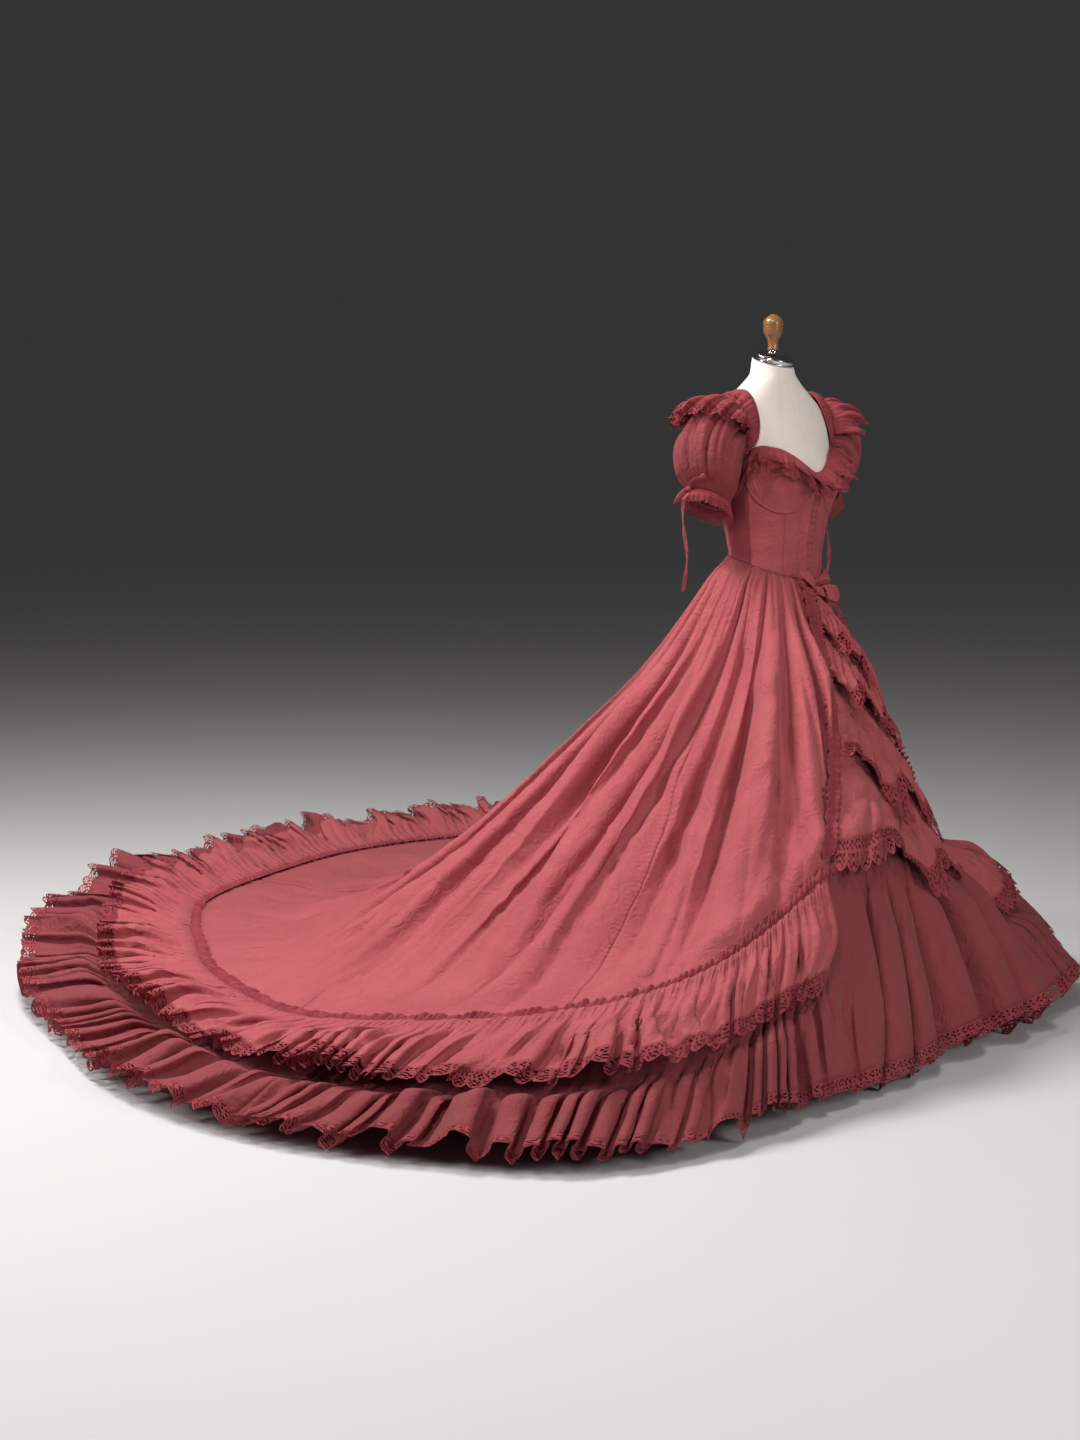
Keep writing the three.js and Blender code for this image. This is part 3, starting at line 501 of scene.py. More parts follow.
screw_profile = [(0, 0), (4.2, 0), (4.2, 3), (3.2, 4.2), (0, 4.2)]
screw_points = turned_points(screw_profile).reshape(-1, 3)
screw_turn = math.radians(62)
screw_points = np.stack([-(screw_points[:, 2] * math.sin(screw_turn)
                           + screw_points[:, 0] * math.cos(screw_turn)),
                         -(screw_points[:, 2] * math.cos(screw_turn)
                           - screw_points[:, 0] * math.sin(screw_turn)),
                         screw_points[:, 1]], -1)
screw_seat = np.array([-(cap_r - 1) * math.sin(screw_turn), -(cap_r - 1) * math.cos(screw_turn),
                       0])
lift = cap_centre[2] + cap_h * 0.55 + screw_seat[1] * math.tan(math.radians(neck_tilt))
screw_points += screw_seat + np.array([0, cap_back, lift])
screw_faces = grid_faces(len(screw_profile), ROUND_SEGMENTS, wraps=True)
neck_screw = mesh_object("neck_screw", screw_points,
                         facing_out(screw_points, screw_faces, screw_points.mean(axis=0)))
merge_ends(neck_screw.data)
neck_screw.data.materials.append(plated)
attach(neck_screw, "chrome")

varnished, wood_tree, wood_shader = start_material(
    "varnished_wood", (0.26, 0.115, 0.035), 0.32, Coat_Weight=0.5, Coat_Roughness=0.2)
wood_where = place_node(wood_tree, "ShaderNodeTexCoord")
grain_map = place_node(wood_tree, "ShaderNodeMapping", {
    "Vector": wood_where.outputs["Object"], "Scale": (1, 1, 0.12)})
grain = place_node(wood_tree, "ShaderNodeTexNoise", {
    "Vector": grain_map.outputs["Vector"], "Scale": 260, "Detail": 6, "Distortion": 1.2})
grain_tone = place_node(wood_tree, "ShaderNodeMix", {
    "Factor": grain.outputs["Fac"], 6: (0.36, 0.17, 0.055, 1), 7: (0.16, 0.065, 0.02, 1)},
    data_type="RGBA")
feed(wood_tree, wood_shader, {"Base Color": grain_tone.outputs[2]})
add_bump(wood_tree, wood_shader, grain.outputs["Fac"], 0.0003, 0.5)

knob_foot = cap_centre[2] + cap_h + 4.1
knob_profile = [(0, 8.2), (12.4, 8.2), (13, 10)] + arc_profile((13, 11), (13, 30), -0.8)
knob_profile += [(13.6, 32), (14.6, 33.6), (15, 35)] + arc_profile((15.6, 36), (23.4, 60), 2.4, 12)
knob_profile += [(24, 61.2), (23.1, 62.6), (23.1, 63.4), (24, 64.8)]
knob_profile += arc_profile((23.9, 66), (7, 91), 6.0, 14) + [(3, 91.3), (0, 91.3)]
ferrule_profile = [(0, 0), (10, 0), (11.6, 1.2), (11.6, 6.4), (10.4, 8), (0, 8)]
knob = turned_piece("turned_knob", knob_profile, varnished, centre=(0, cap_back, knob_foot))
attach(knob, "wood", "finial")
ferrule = turned_piece("knob_ferrule", ferrule_profile, plated, centre=(0, cap_back, knob_foot))
attach(ferrule, "chrome")

# ==== Bodice ======================================================================================
# Cotton panels sewn edge to edge: a centre-front band with hooks, two front panels on each side
# under the cups, darker side panels under the arms and a back in two halves. Bones run in stitched
# channels, and each seam is pressed and top-stitched.
wear_gap = 4.5  # mm from the form to the middle of the bodice wall
cloth_thick = 1.4

neckline = table(("phi", "z"), [
    (0, 1283), (8, 1287), (17, 1301), (33, 1326), (49, 1340), (68, 1338), (76, 1292), (90, 1292),
    (104, 1294), (109, 1346), (140, 1352), (180, 1348),
])
underwire = table(("phi", "z"), [
    (0, 1252), (8, 1236), (20, 1203), (32, 1193), (44, 1192), (56, 1203), (67, 1224), (74, 1258),
])
waist_side, waist_dip = 1092, 60
placket_edge, front_seam, cup_edge, side_seam = 3.6, 38, 74, 100


def waist_z(phi):
    forward = (1 + np.cos(np.radians(phi))) / 2
    return waist_side - waist_dip * forward**2


def neckline_z(phi):
    return read_curve(neckline, "phi", "z", half_angle(phi))


def underwire_z(phi):
    return read_curve(underwire, "phi", "z", np.minimum(half_angle(phi), cup_edge))


def wander(x, seed):
    """A slow uneven number, mostly between -1 and 1, along x."""
    dice = np.random.default_rng(seed)
    total = 0.0
    for octave in range(4):
        rate = dice.uniform(0.7, 1.5) * (octave + 1)
        total = total + np.sin(x * rate + dice.uniform(0, 6.28)) / (octave + 1.5)
    return total / 1.3


def ripple(x, y, seed, count=7):
    """Soft uneven ground in two directions, about one wave a unit, between -1 and 1."""
    dice = np.random.default_rng(seed)
    bent_x = x + 0.35 * np.sin(y * 2.1 + seed)
    bent_y = y + 0.35 * np.sin(x * 1.7 + 2 * seed)
    total = 0.0
    for _ in range(count):
        turn = dice.uniform(0, np.pi)
        rate = dice.uniform(3.5, 9)
        along = bent_x * math.cos(turn) + bent_y * math.sin(turn)
        total = total + np.sin(along * rate + dice.uniform(0, 6.28)) * 5 / rate
    return total / count


def fold_place(x, seed):
    return x + 0.26 * wander(x * 0.9, seed) + 0.3 * wander(x * 0.21, seed + 1)


def gathers(x, seed, sharp=0.75):
    """Rounded folds with narrow valleys, about one to a unit of x, uneven in width and height."""
    crest = np.abs(np.sin(np.pi * fold_place(x, seed))) ** sharp
    return crest * (0.72 + 0.28 * wander(x * 0.6, seed + 2))


def cloth_piece(name, sheet, columns, rows, material, away_from, wraps=False, thick=cloth_thick,
                u_range=(0, 1), v_range=(0, 1), flat=(1.0, 1.0), gather=None, pucker=None):
    """A thin shell on a sheet given as a function of u and v; its map is the cut, in metres.

    gather and pucker are functions of u and v that say where fine gathers and puckers show.
    """
    u = np.linspace(*u_range, columns + (0 if wraps else 1), endpoint=not wraps)
    v = np.linspace(*v_range, rows + 1)
    grid_u, grid_v = np.meshgrid(u, v)
    points = sheet(grid_u, grid_v).reshape(-1, 3)
    faces = grid_faces(rows + 1, len(u), wraps)
    uv = np.stack([grid_u.ravel() * flat[0], grid_v.ravel() * flat[1]], -1)
    piece = mesh_object(name, points, facing_out(points, faces, away_from), uv)
    piece.data.materials.append(material)
    for key, share in (("gather", gather), ("pucker", pucker)):
        if share is not None:
            held = piece.data.attributes.new(key, "FLOAT", "POINT")
            held.data.foreach_set("value", np.broadcast_to(share(grid_u, grid_v),
                                                           grid_u.shape).astype("f").ravel())
    if thick:
        wall = piece.modifiers.new("thickness", "SOLIDIFY")
        wall.thickness = thick * MM
        wall.offset = 0
    return piece


slot_of = {"rose_cotton": "cotton", "painted_shade_cotton": "cotton", "dark_stretch_panel": "panel",
           "lace_cotton": "lace"}


def sewn_piece(name, sheet, grid, material, away_from, flat, held, rests_on, area=None, cut=None,
               added=False, **options):
    """A cloth piece whose map has its flat size; it stands for the node of its name.

    grid is its columns and rows, and cut the size of its map where that isn't its flat size. An
    added piece stands for no node.
    """
    piece = cloth_piece(name, sheet, *grid, material, away_from, flat=cut or flat, **options)
    attach(piece, slot_of[material.name], *([] if added else [name.removesuffix("_cloth")]))
    return piece


cotton = cloth_material("rose_cotton", (0.44, 0.098, 0.108), (0.35, 0.066, 0.076), 1400, 3.2, 22,
                           0.0034)
dark_panel = cloth_material("dark_stretch_panel", (0.26, 0.048, 0.062), (0.2, 0.034, 0.045), 1700,
                               5, 20, 0.0004)

bone_angles = (1.9, 7.6, 21.0)  # degrees from centre front of the bones on each side
bone_height, bone_half = 1.3, 3.2


def bodice_relief(phi, z, seams):
    """Raised bone channels, pressed seams and a few tension creases across the panels."""
    radius = torso_radius(phi, z)
    out = np.zeros_like(phi)
    for bone in bone_angles:
        aside = arc_mm(np.abs(half_angle(phi) - bone), radius)
        out += bone_height * smooth(bone_half + 1 - aside, 0, 1.6) * smooth(
            underwire_z(phi) - z, 2, 12)
    for seam in seams:
        aside = arc_mm(phi - seam, radius)
        out -= 1.1 * bell(aside, 1.3)
        out += 0.5 * bell(np.abs(aside) - 4.5, 1.6)
    creases = ripple(phi * radius / 5200, z / 34, 5)
    return out + creases * (0.35 + 0.9 * (1 - smooth(z, 1060, 1150)))


def bodice_sheet(seams, upper_edge):
    """A panel between two seams, from its upper edge to the waist seam."""
    def sheet(u, v):
        phi = lerp(*seams, u)
        z = lerp(upper_edge(phi), waist_z(phi), v)
        return on_torso(phi, z, wear_gap + bodice_relief(phi, z, seams))
    return sheet


body_axis = (0, 0, 1200)
bodice_panels = [
    # name, first seam, last seam, upper edge, columns, flat width and length, material
    ("front_panel_bodice", placket_edge, front_seam, underwire_z, 44, (0.09, 0.17), cotton),
    ("side_front", front_seam, cup_edge, underwire_z, 40, (0.09, 0.16), cotton),
    ("side_back", cup_edge, side_seam, neckline_z, 24, (0.075, 0.235), dark_panel),
    ("back", side_seam, 180, neckline_z, 42, (0.17, 0.27), cotton),
]
for sign, tag in SIDES:
    for name, first, last, upper_edge, columns, flat, material in bodice_panels:
        sheet = bodice_sheet((sign * first, sign * last), upper_edge)
        sewn_piece(f"{name}_{tag}_cloth", sheet, (columns, 46), material, body_axis, flat,
                   "stretched", ["form_cover"])
sewn_piece("placket_cloth", bodice_sheet((-placket_edge, placket_edge), neckline_z), (16, 60),
           cotton, body_axis, (0.02, 0.26), "stretched", ["form_cover"])

# ==== Stitching ===================================================================================
# Rows of short thread stitches in a slightly darker thread, sunk along every top-stitched seam.


stitch_pitch = 1.45  # lengths of a stitch from one to the next


def make_row_tree(tree_name, length, width, height):
    """Geometry Nodes: sets one small rounded bar after another along the lines of a piece."""
    tree = bpy.data.node_groups.new(tree_name, "GeometryNodeTree")
    tree.is_modifier = True
    face = tree.interface
    face.new_socket("Geometry", in_out="INPUT", socket_type="NodeSocketGeometry")
    for socket, value in (("Spacing", length * stitch_pitch), ("Length", length), ("Width", width),
                          ("Height", height)):
        face.new_socket(socket, in_out="INPUT", socket_type="NodeSocketFloat").default_value = value
    face.new_socket("Material", in_out="INPUT", socket_type="NodeSocketMaterial")
    face.new_socket("Geometry", in_out="OUTPUT", socket_type="NodeSocketGeometry")
    given, out = tree.nodes.new("NodeGroupInput").outputs, tree.nodes.new("NodeGroupOutput")
    path = place_node(tree, "GeometryNodeMeshToCurve", {"Mesh": given["Geometry"]})
    even = place_node(tree, "GeometryNodeResampleCurve", {
        "Curve": path.outputs["Curve"], "Length": given["Spacing"]}, mode="LENGTH")
    tangent = place_node(tree, "GeometryNodeInputTangent")
    turn = place_node(tree, "FunctionNodeAlignRotationToVector", {
        "Vector": tangent.outputs["Tangent"]}, axis="X")
    size = place_node(tree, "ShaderNodeCombineXYZ", {
        "X": given["Length"], "Y": given["Width"], "Z": given["Height"]})
    bar = place_node(tree, "GeometryNodeMeshIcoSphere", {"Radius": 0.5, "Subdivisions": 1})
    thread = place_node(tree, "GeometryNodeTransform", {
        "Geometry": bar.outputs["Mesh"], "Scale": size.outputs["Vector"]})
    repeat = place_node(tree, "GeometryNodeInstanceOnPoints", {
        "Points": even.outputs["Curve"], "Instance": thread.outputs["Geometry"],
        "Rotation": turn.outputs["Rotation"]})
    real = place_node(tree, "GeometryNodeRealizeInstances", {
        "Geometry": repeat.outputs["Instances"]})
    finish = place_node(tree, "GeometryNodeSetMaterial", {
        "Geometry": real.outputs["Geometry"], "Material": given["Material"]})
    feed(tree, out, {"Geometry": finish.outputs["Geometry"]})
    return tree


stitch_rows = make_row_tree("stitch_rows", 2.4 * MM, 0.7 * MM, 0.6 * MM)
thread_dark = cloth_material("sewing_thread", (0.22, 0.04, 0.05), (0.16, 0.028, 0.035), 3000, 40,
                                60, 0.0001)


def line_piece(name, lines):
    """An edges-only piece from lists of points in millimetres."""
    mesh = bpy.data.meshes.new(name)
    points, edges = [], []
    for line in lines:
        start = len(points)
        points.extend((np.asarray(line, float) * MM).tolist())
        edges.extend((start + k, start + k + 1) for k in range(len(line) - 1))
    mesh.from_pydata(points, edges, [])
    return place_object(name, mesh)


def run_tree(piece, tree, values):
    """Runs a node tree on a piece with these named inputs and keeps the result as a plain mesh."""
    modifier = piece.modifiers.new("repeat", "NODES")
    modifier.node_group = tree
    for item in tree.interface.items_tree:
        if item.item_type == "SOCKET" and item.in_out == "INPUT" and item.name in values:
            modifier[item.identifier] = values[item.name]
    plain = evaluated_mesh(piece)
    piece.modifiers.remove(modifier)
    piece.data = plain
    plain.shade_smooth()
    return piece


def stitched(name, lines):
    piece = run_tree(line_piece(name, lines), stitch_rows, {"Material": thread_dark})
    return attach(piece, "cotton")


line_steps = np.linspace(0.02, 0.98, 60)
stitch_lines = []
for sign in (1, -1):
    for seam, low, high, offset in (
        (placket_edge, waist_z, underwire_z, 1.6), (front_seam, waist_z, underwire_z, 2.4),
        (front_seam, waist_z, underwire_z, -2.4), (cup_edge, waist_z, neckline_z, 1.8),
        (cup_edge, waist_z, underwire_z, -1.8), (side_seam, waist_z, neckline_z, 1.8),
    ):
        phi = np.full_like(line_steps, sign * (seam + offset))
        z = lerp(low(phi), high(phi), line_steps)
        stitch_lines.append(on_torso(phi, z, wear_gap + 1.0))
    for bone in bone_angles[1:]:
        for edge in (-1.9, 1.9):
            phi = np.full_like(line_steps, sign * (bone + edge))
            z = lerp(waist_z(phi) + 4, underwire_z(phi) - 8, line_steps)
            stitch_lines.append(on_torso(phi, z, wear_gap + 0.9))
stitched("bodice_stitches", stitch_lines)

# ==== Cups and underwires ========================================================================
# Each bust cup is cut in one with a curved top edge and sewn into the panels below over a wire,
# which lies in a folded tape with a row of stitches along both edges.


def cup_sheet(sign):
    def sheet(u, v):
        near, far = sign * placket_edge, sign * cup_edge
        phi = lerp(near, far, u)
        z = lerp(neckline_z(phi), underwire_z(phi), v)
        radius = torso_radius(phi, z)
        pull = bell(half_angle(phi) - bust["phi"], 26)
        dart = arc_mm(np.abs(half_angle(phi) - bust["phi"] - 4), radius)
        relief = -0.9 * bell(dart, 1.5) * smooth(bust["z"] + 6 - z, 0, 20)
        fan = 1.2 * pull * (0.5 + 0.5 * np.cos(half_angle(phi) * 0.62 + z / 26)) * smooth(v, 0.4, 1)
        edge = -0.8 * bell((1 - v) * 70, 1.6)
        wrinkle = 0.7 * ripple(phi / 11, z / 30, 9)
        return on_torso(phi, z, wear_gap + relief + fan + edge + wrinkle)
    return sheet


for sign, tag in SIDES:
    sewn_piece(f"cup_{tag}_cloth", cup_sheet(sign), (64, 34), cotton, body_axis, (0.2, 0.145),
               "stretched", ["form_cover"], area=0.02)

    def wire_tape(u, v):
        phi = sign * lerp(placket_edge + 0.4, cup_edge - 0.6, u)
        z = underwire_z(phi) + 9.5 * (0.5 - v)
        crown = np.sqrt(np.clip(1 - (2 * v - 1) ** 2, 0, 1))
        return on_torso(phi, z, wear_gap + 1.3 + 2.0 * crown)

    sewn_piece(f"wire_tape_{tag}", wire_tape, (90, 6), cotton, body_axis, (0.22, 0.014),
               "stretched", [f"cup_{tag}_cloth"], added=True, thick=0.8)
    phi = sign * lerp(placket_edge + 1, cup_edge - 1, np.linspace(0, 1, 120))
    stitched(f"wire_stitches_{tag}", [on_torso(phi, underwire_z(phi) + side, wear_gap + 3.2)
                                      for side in (-3.2, 3.2)])

# ==== Hooks on the front band ====================================================================
# Small black hooks and eyes close the band at centre front, one pair below the other, and stay
# fastened.
hook_metal = metal_material("hook_metal", (0.08, 0.08, 0.085), (0.04, 0.04, 0.042), 0.4, 80, 0.0001)
hook_pitch, hook_wire, hook_reach = 15.0, 0.55, 3.4


def bent_wire(name, lines, radius, material):
    """Round wire along lines of points, made a mesh."""
    curve = bpy.data.curves.new(name, "CURVE")
    curve.dimensions = "3D"
    curve.bevel_depth = radius * MM
    curve.bevel_resolution = 1
    for line in lines:
        spline = curve.splines.new("POLY")
        spline.points.add(len(line) - 1)
        for point, place in zip(spline.points, line):
            point.co = (*(np.asarray(place, float) * MM), 1)
    path = place_object(name + "_path", curve)
    mesh = evaluated_mesh(path)
    bpy.data.objects.remove(path)
    mesh.shade_smooth()
    mesh.materials.clear()
    mesh.materials.append(material)
    return place_object(name, mesh)


hook_lines = []
hook_z = np.arange(float(waist_z(0)) + 12, float(neckline_z(0)) - 6, hook_pitch)
for z in hook_z:
    turn = np.linspace(0.3, 2 * np.pi - 0.3, 12)
    for side in (1, -1):
        x = side * (2.2 + hook_reach * (0.6 - 0.5 * np.cos(turn)))
        height = z + hook_reach * 0.62 * np.sin(turn)
        front = -(torso_radius(np.zeros(1), np.full(1, z), wear_gap)[0] + 2.4)
        hook_lines.append(np.stack([x, np.full_like(x, front), height], -1))
hooks = bent_wire("front_hooks", hook_lines, hook_wire, hook_metal)
attach(hooks, "iron")

# ==== Shoulder straps ============================================================================
# Wide cotton straps, ruched crosswise on a plain band, run over the shoulders from the corner of
# the bodice in front to its corner behind.
shoulder_axis = (0, 0, 1300)
strap = {"front": 88.5, "back": 81, "inner": 118, "inner_end": 142, "outer": 153.3,
         "outer_end": 157.2, "pivot_z": 1340}


def shoulder_reach(lateral, psi, grow):
    """Distance from the shoulder's pivot line to the form's surface, in the direction psi."""
    near = np.zeros(np.broadcast(lateral, psi).shape)
    far = np.full_like(near, 160.0)
    lean = np.radians(psi)
    for _ in range(24):
        middle = (near + far) / 2
        y = middle * np.sin(lean)
        z = strap["pivot_z"] + middle * np.cos(lean) - grow * np.cos(lean)
        half = read_curve(torso, "z", "half", z) + grow
        depth = np.where(y < 0, read_curve(torso, "z", "front", z),
                         read_curve(torso, "z", "back", z)) + grow
        inside = np.hypot(lateral / half, y / depth) < 1
        near, far = np.where(inside, middle, near), np.where(inside, far, middle)
    return near


def on_shoulder(sign, lateral, psi, base_grow, lifted=0.0):
    reach = shoulder_reach(lateral, psi, base_grow) + lifted
    lean = np.radians(psi)
    return np.stack([-sign * lateral, reach * np.sin(lean),
                     strap["pivot_z"] + reach * np.cos(lean)], -1)


def strap_lateral(psi, v):
    away = (psi / strap["front"]) ** 2
    inner = lerp(strap["inner"], strap["inner_end"], away)
    outer = lerp(strap["outer"], strap["outer_end"], away)
    return lerp(inner, outer, v)


for sign, tag in SIDES:
    def strap_sheet(u, v):
        psi = lerp(-strap["front"], strap["back"], u)
        ruched = 4.0 * gathers(u * 30 + 1.2 * v, 21) * np.sin(np.pi * np.clip(v, 0.02, 0.98)) ** 0.5
        return on_shoulder(sign, strap_lateral(psi, v), psi, wear_gap, ruched)

    sewn_piece(f"strap_{tag}_cloth", strap_sheet, (140, 8), cotton, shoulder_axis, (0.27, 0.033),
               "gathered", ["form_cover"], cut=(0.3, 0.035))

# ==== Puffed sleeves =============================================================================
# Short full sleeves, gathered into the armhole at the top and drawn in by a flat drawstring above
# the elbow, where a lace-edged frill hangs on. The drawstring ends in a knot at the back, with a
# leaf-shaped loop and a long tail.
sleeve_folds = {"fine": 8, "middle": 29, "small": 11, "broad": 7, "crumple": 4.0, "sunk": 19,
                "drawn": 14, "deepest": 16}  # mm
sleeve_rings = table(("v", "inner_x", "inner_z", "outer_x", "outer_z", "depth", "back"), [
    (0, 162.2, 1288, 162, 1436, 62, 4), (0.18, 167, 1279, 206, 1438, 75, 8),
    (0.4, 168, 1264, 254, 1402, 83, 12), (0.62, 166, 1242, 276, 1342, 83, 16),
    (0.83, 162, 1216, 268, 1282, 72, 19), (1, 160, 1194, 246, 1246, 52, 20),
])
lace_cloth = cloth_material("lace_cotton", (0.32, 0.05, 0.062), (0.21, 0.03, 0.04), 2200, 14,
                               70, 0.0008, roughness=0.92, sheen=0.03)
lace_chart = [  # one repeat of the edging, # is thread and . is a gap, the sewn edge first
    "########",
    "#.##.##.",
    "##.##.##",
    "#.##.##.",
    "########",
    "#.#..#.#",
    "##.##.##",
    "#.#..#.#",
    "##.##.##",
    "########",
]
lace_scallop = 0.26  # share of its depth that the free edge swings in and out


def lace_edging(name, sheet, repeats, v_range, u_range=(0, 1), away_from=(0, 0, 0), raised=0.9):
    """Lace along a sheet's free edge: a charted repeat of threads and gaps with a scalloped rim."""
    chart = np.array([[mark == "#" for mark in row] for row in lace_chart])
    deep, wide = chart.shape
    columns = wide * repeats
    u = np.linspace(*u_range, columns + 1)
    share = np.linspace(0, 1, deep + 1)
    grid_u, grid_share = np.meshgrid(u, share)
    place = np.linspace(0, repeats, columns + 1)
    swing = 1 - lace_scallop * (1 - np.abs(np.sin(np.pi * place)) ** 0.8) * share[:, None] ** 1.5
    grid_v = lerp(v_range[0], v_range[1], grid_share * swing)
    points = sheet(grid_u, grid_v, raised).reshape(-1, 3)
    faces = grid_faces(deep + 1, columns + 1)
    kept = np.tile(chart, (1, repeats)).ravel()
    faces = facing_out(points, faces, away_from)[kept]
    piece = mesh_object(name, points, faces, np.stack([grid_u.ravel(), grid_v.ravel()], -1))
    piece.data.materials.append(lace_cloth)
    attach(piece, "lace")
    return piece


def sleeve_point(sign, turn, v, out):
    read = {key: read_curve(sleeve_rings, "v", key, v) for key in sleeve_rings if key != "v"}
    reach_x = (read["outer_x"] - read["inner_x"]) / 2
    reach_z = (read["outer_z"] - read["inner_z"]) / 2
    spread = -np.cos(turn) * (1 + out / np.hypot(reach_x, reach_z))
    return np.stack([
        -sign * (read["inner_x"] + reach_x * (1 + spread)),
        read["back"] + (read["depth"] + out) * np.sin(turn),
        read["inner_z"] + reach_z * (1 + spread)], -1)


def sleeve_sheet(sign):
    """The puff: gathers at both ends, long folds between them, flat on the inner side."""
    spec = sleeve_folds

    def sheet(u, v, raised=0.0):
        turn = 2 * np.pi * u
        outer = swell(turn) ** 0.6
        at_ends = bell(v, 0.2) + bell(1 - v, 0.22)
        fine = spec["fine"] * gathers(u * 44, 31 + sign, 0.9) * at_ends
        middle = spec["middle"] * gathers(u * 9.5 + 0.25 * np.sin(3 * v), 41 + sign, 0.6)
        middle += spec["small"] * gathers(u * 25 + 0.4 * np.sin(4 * v), 45 + sign, 0.7)
        middle *= np.sin(np.pi * np.clip(v, 0.03, 1)) ** 0.5
        broad = spec["broad"] * swell(8 * turn + np.sin(turn)) * np.sin(np.pi * v) ** 0.7
        crumple = spec["crumple"] * ripple(u * 5, v * 2.4, 50 + sign) * np.sin(np.pi * v) ** 0.5
        drawn = spec["drawn"] * bell(v - 0.9, 0.06)
        middle *= 1 - 0.65 * smooth(v, 0.74, 0.88)
        out = outer * (0.4 * broad + middle + fine + crumple - spec["sunk"] - drawn) + raised
        deepest = 0.3 * (outer - 1) - spec["deepest"] * outer
        point = sleeve_point(sign, turn, v, np.maximum(out, deepest))
        point[..., 2] -= 5 * outer * np.sin(np.pi * v) * smooth(v, 0.4, 0.9)
        return point
    return sheet


cuff_fall, cuff_flare = 36, 12
# Painted shade: a darker copy of the rose cotton for the sleeves, their ties and the lower tier,
# which lie in the shade of the frills and of deep folds.
painted_shade_cotton = cloth_material("painted_shade_cotton", (0.285, 0.056, 0.064), (0.21, 0.037, 0.045), 1400, 3.2,
                             18, 0.004)


def cuff_sheet(sign):
    def sheet(u, v, raised=0.0):
        turn = 2 * np.pi * u
        outer = swell(turn)
        wave = gathers(u * 26, 61 + sign) * 6 + 4 * swell(8 * turn)
        point = sleeve_point(sign, turn, np.ones_like(u),
                             outer * (cuff_flare * v + wave * smooth(v, 0, 0.7)) + raised * outer)
        point[..., 2] -= 0.9 + cuff_fall * v
        return point
    return sheet


def tie_strip(knot, sign, kind):
    """The drawstring beyond its knot: a leaf-shaped loop, or a narrow tail that twists."""
    def loop(u, v):
        width = 15 * np.sin(np.pi * np.clip(0.12 + 0.85 * u, 0, 1)) + 2
        hollow = 2.2 * np.cos(np.pi * (v - 0.5)) * np.sin(np.pi * u)
        side = width * (v - 0.5)
        return np.stack([knot[0] - sign * (1 + 20 * u + hollow) + 0.45 * side,
                         knot[1] + 3 + 26 * u - 0.45 * side, knot[2] - 38 * u - 0.75 * side], -1)

    def tail(u, v):
        drift = 7 * np.sin(2.2 * np.pi * u)
        twist = 0.5 * np.sin(5 * np.pi * u)
        side = 9 * (v - 0.5)
        return np.stack([knot[0] - sign * (1 + 20 * smooth(u, 0, 0.1) + side * twist),
                         knot[1] - 6 + drift + side * np.cos(twist),
                         knot[2] - 4 - 235 * u], -1)
    return loop if kind == "loop" else tail


def knot_piece(name, centre, size, material, seed):
    """A small pulled knot: a ball of cloth with turns wound round it."""
    u, v = np.meshgrid(np.linspace(0, 2 * np.pi, 40, endpoint=False), np.linspace(0, np.pi, 21))
    turns = 1 + 0.1 * np.sin(3 * u + 5 * v + seed) + 0.06 * np.sin(7 * v - 2 * u)
    points = np.stack([size[0] * turns * np.sin(v) * np.cos(u),
                       size[1] * turns * np.sin(v) * np.sin(u), size[2] * np.cos(v)], -1)
    points = points.reshape(-1, 3) + np.array(centre, float)
    faces = facing_out(points, grid_faces(21, 40, wraps=True), centre)
    piece = mesh_object(name, points, faces,
                        np.stack([u.ravel(), v.ravel()], -1) * size[0] * MM)
    merge_ends(piece.data)
    piece.data.materials.append(material)
    return attach(piece, "cotton")


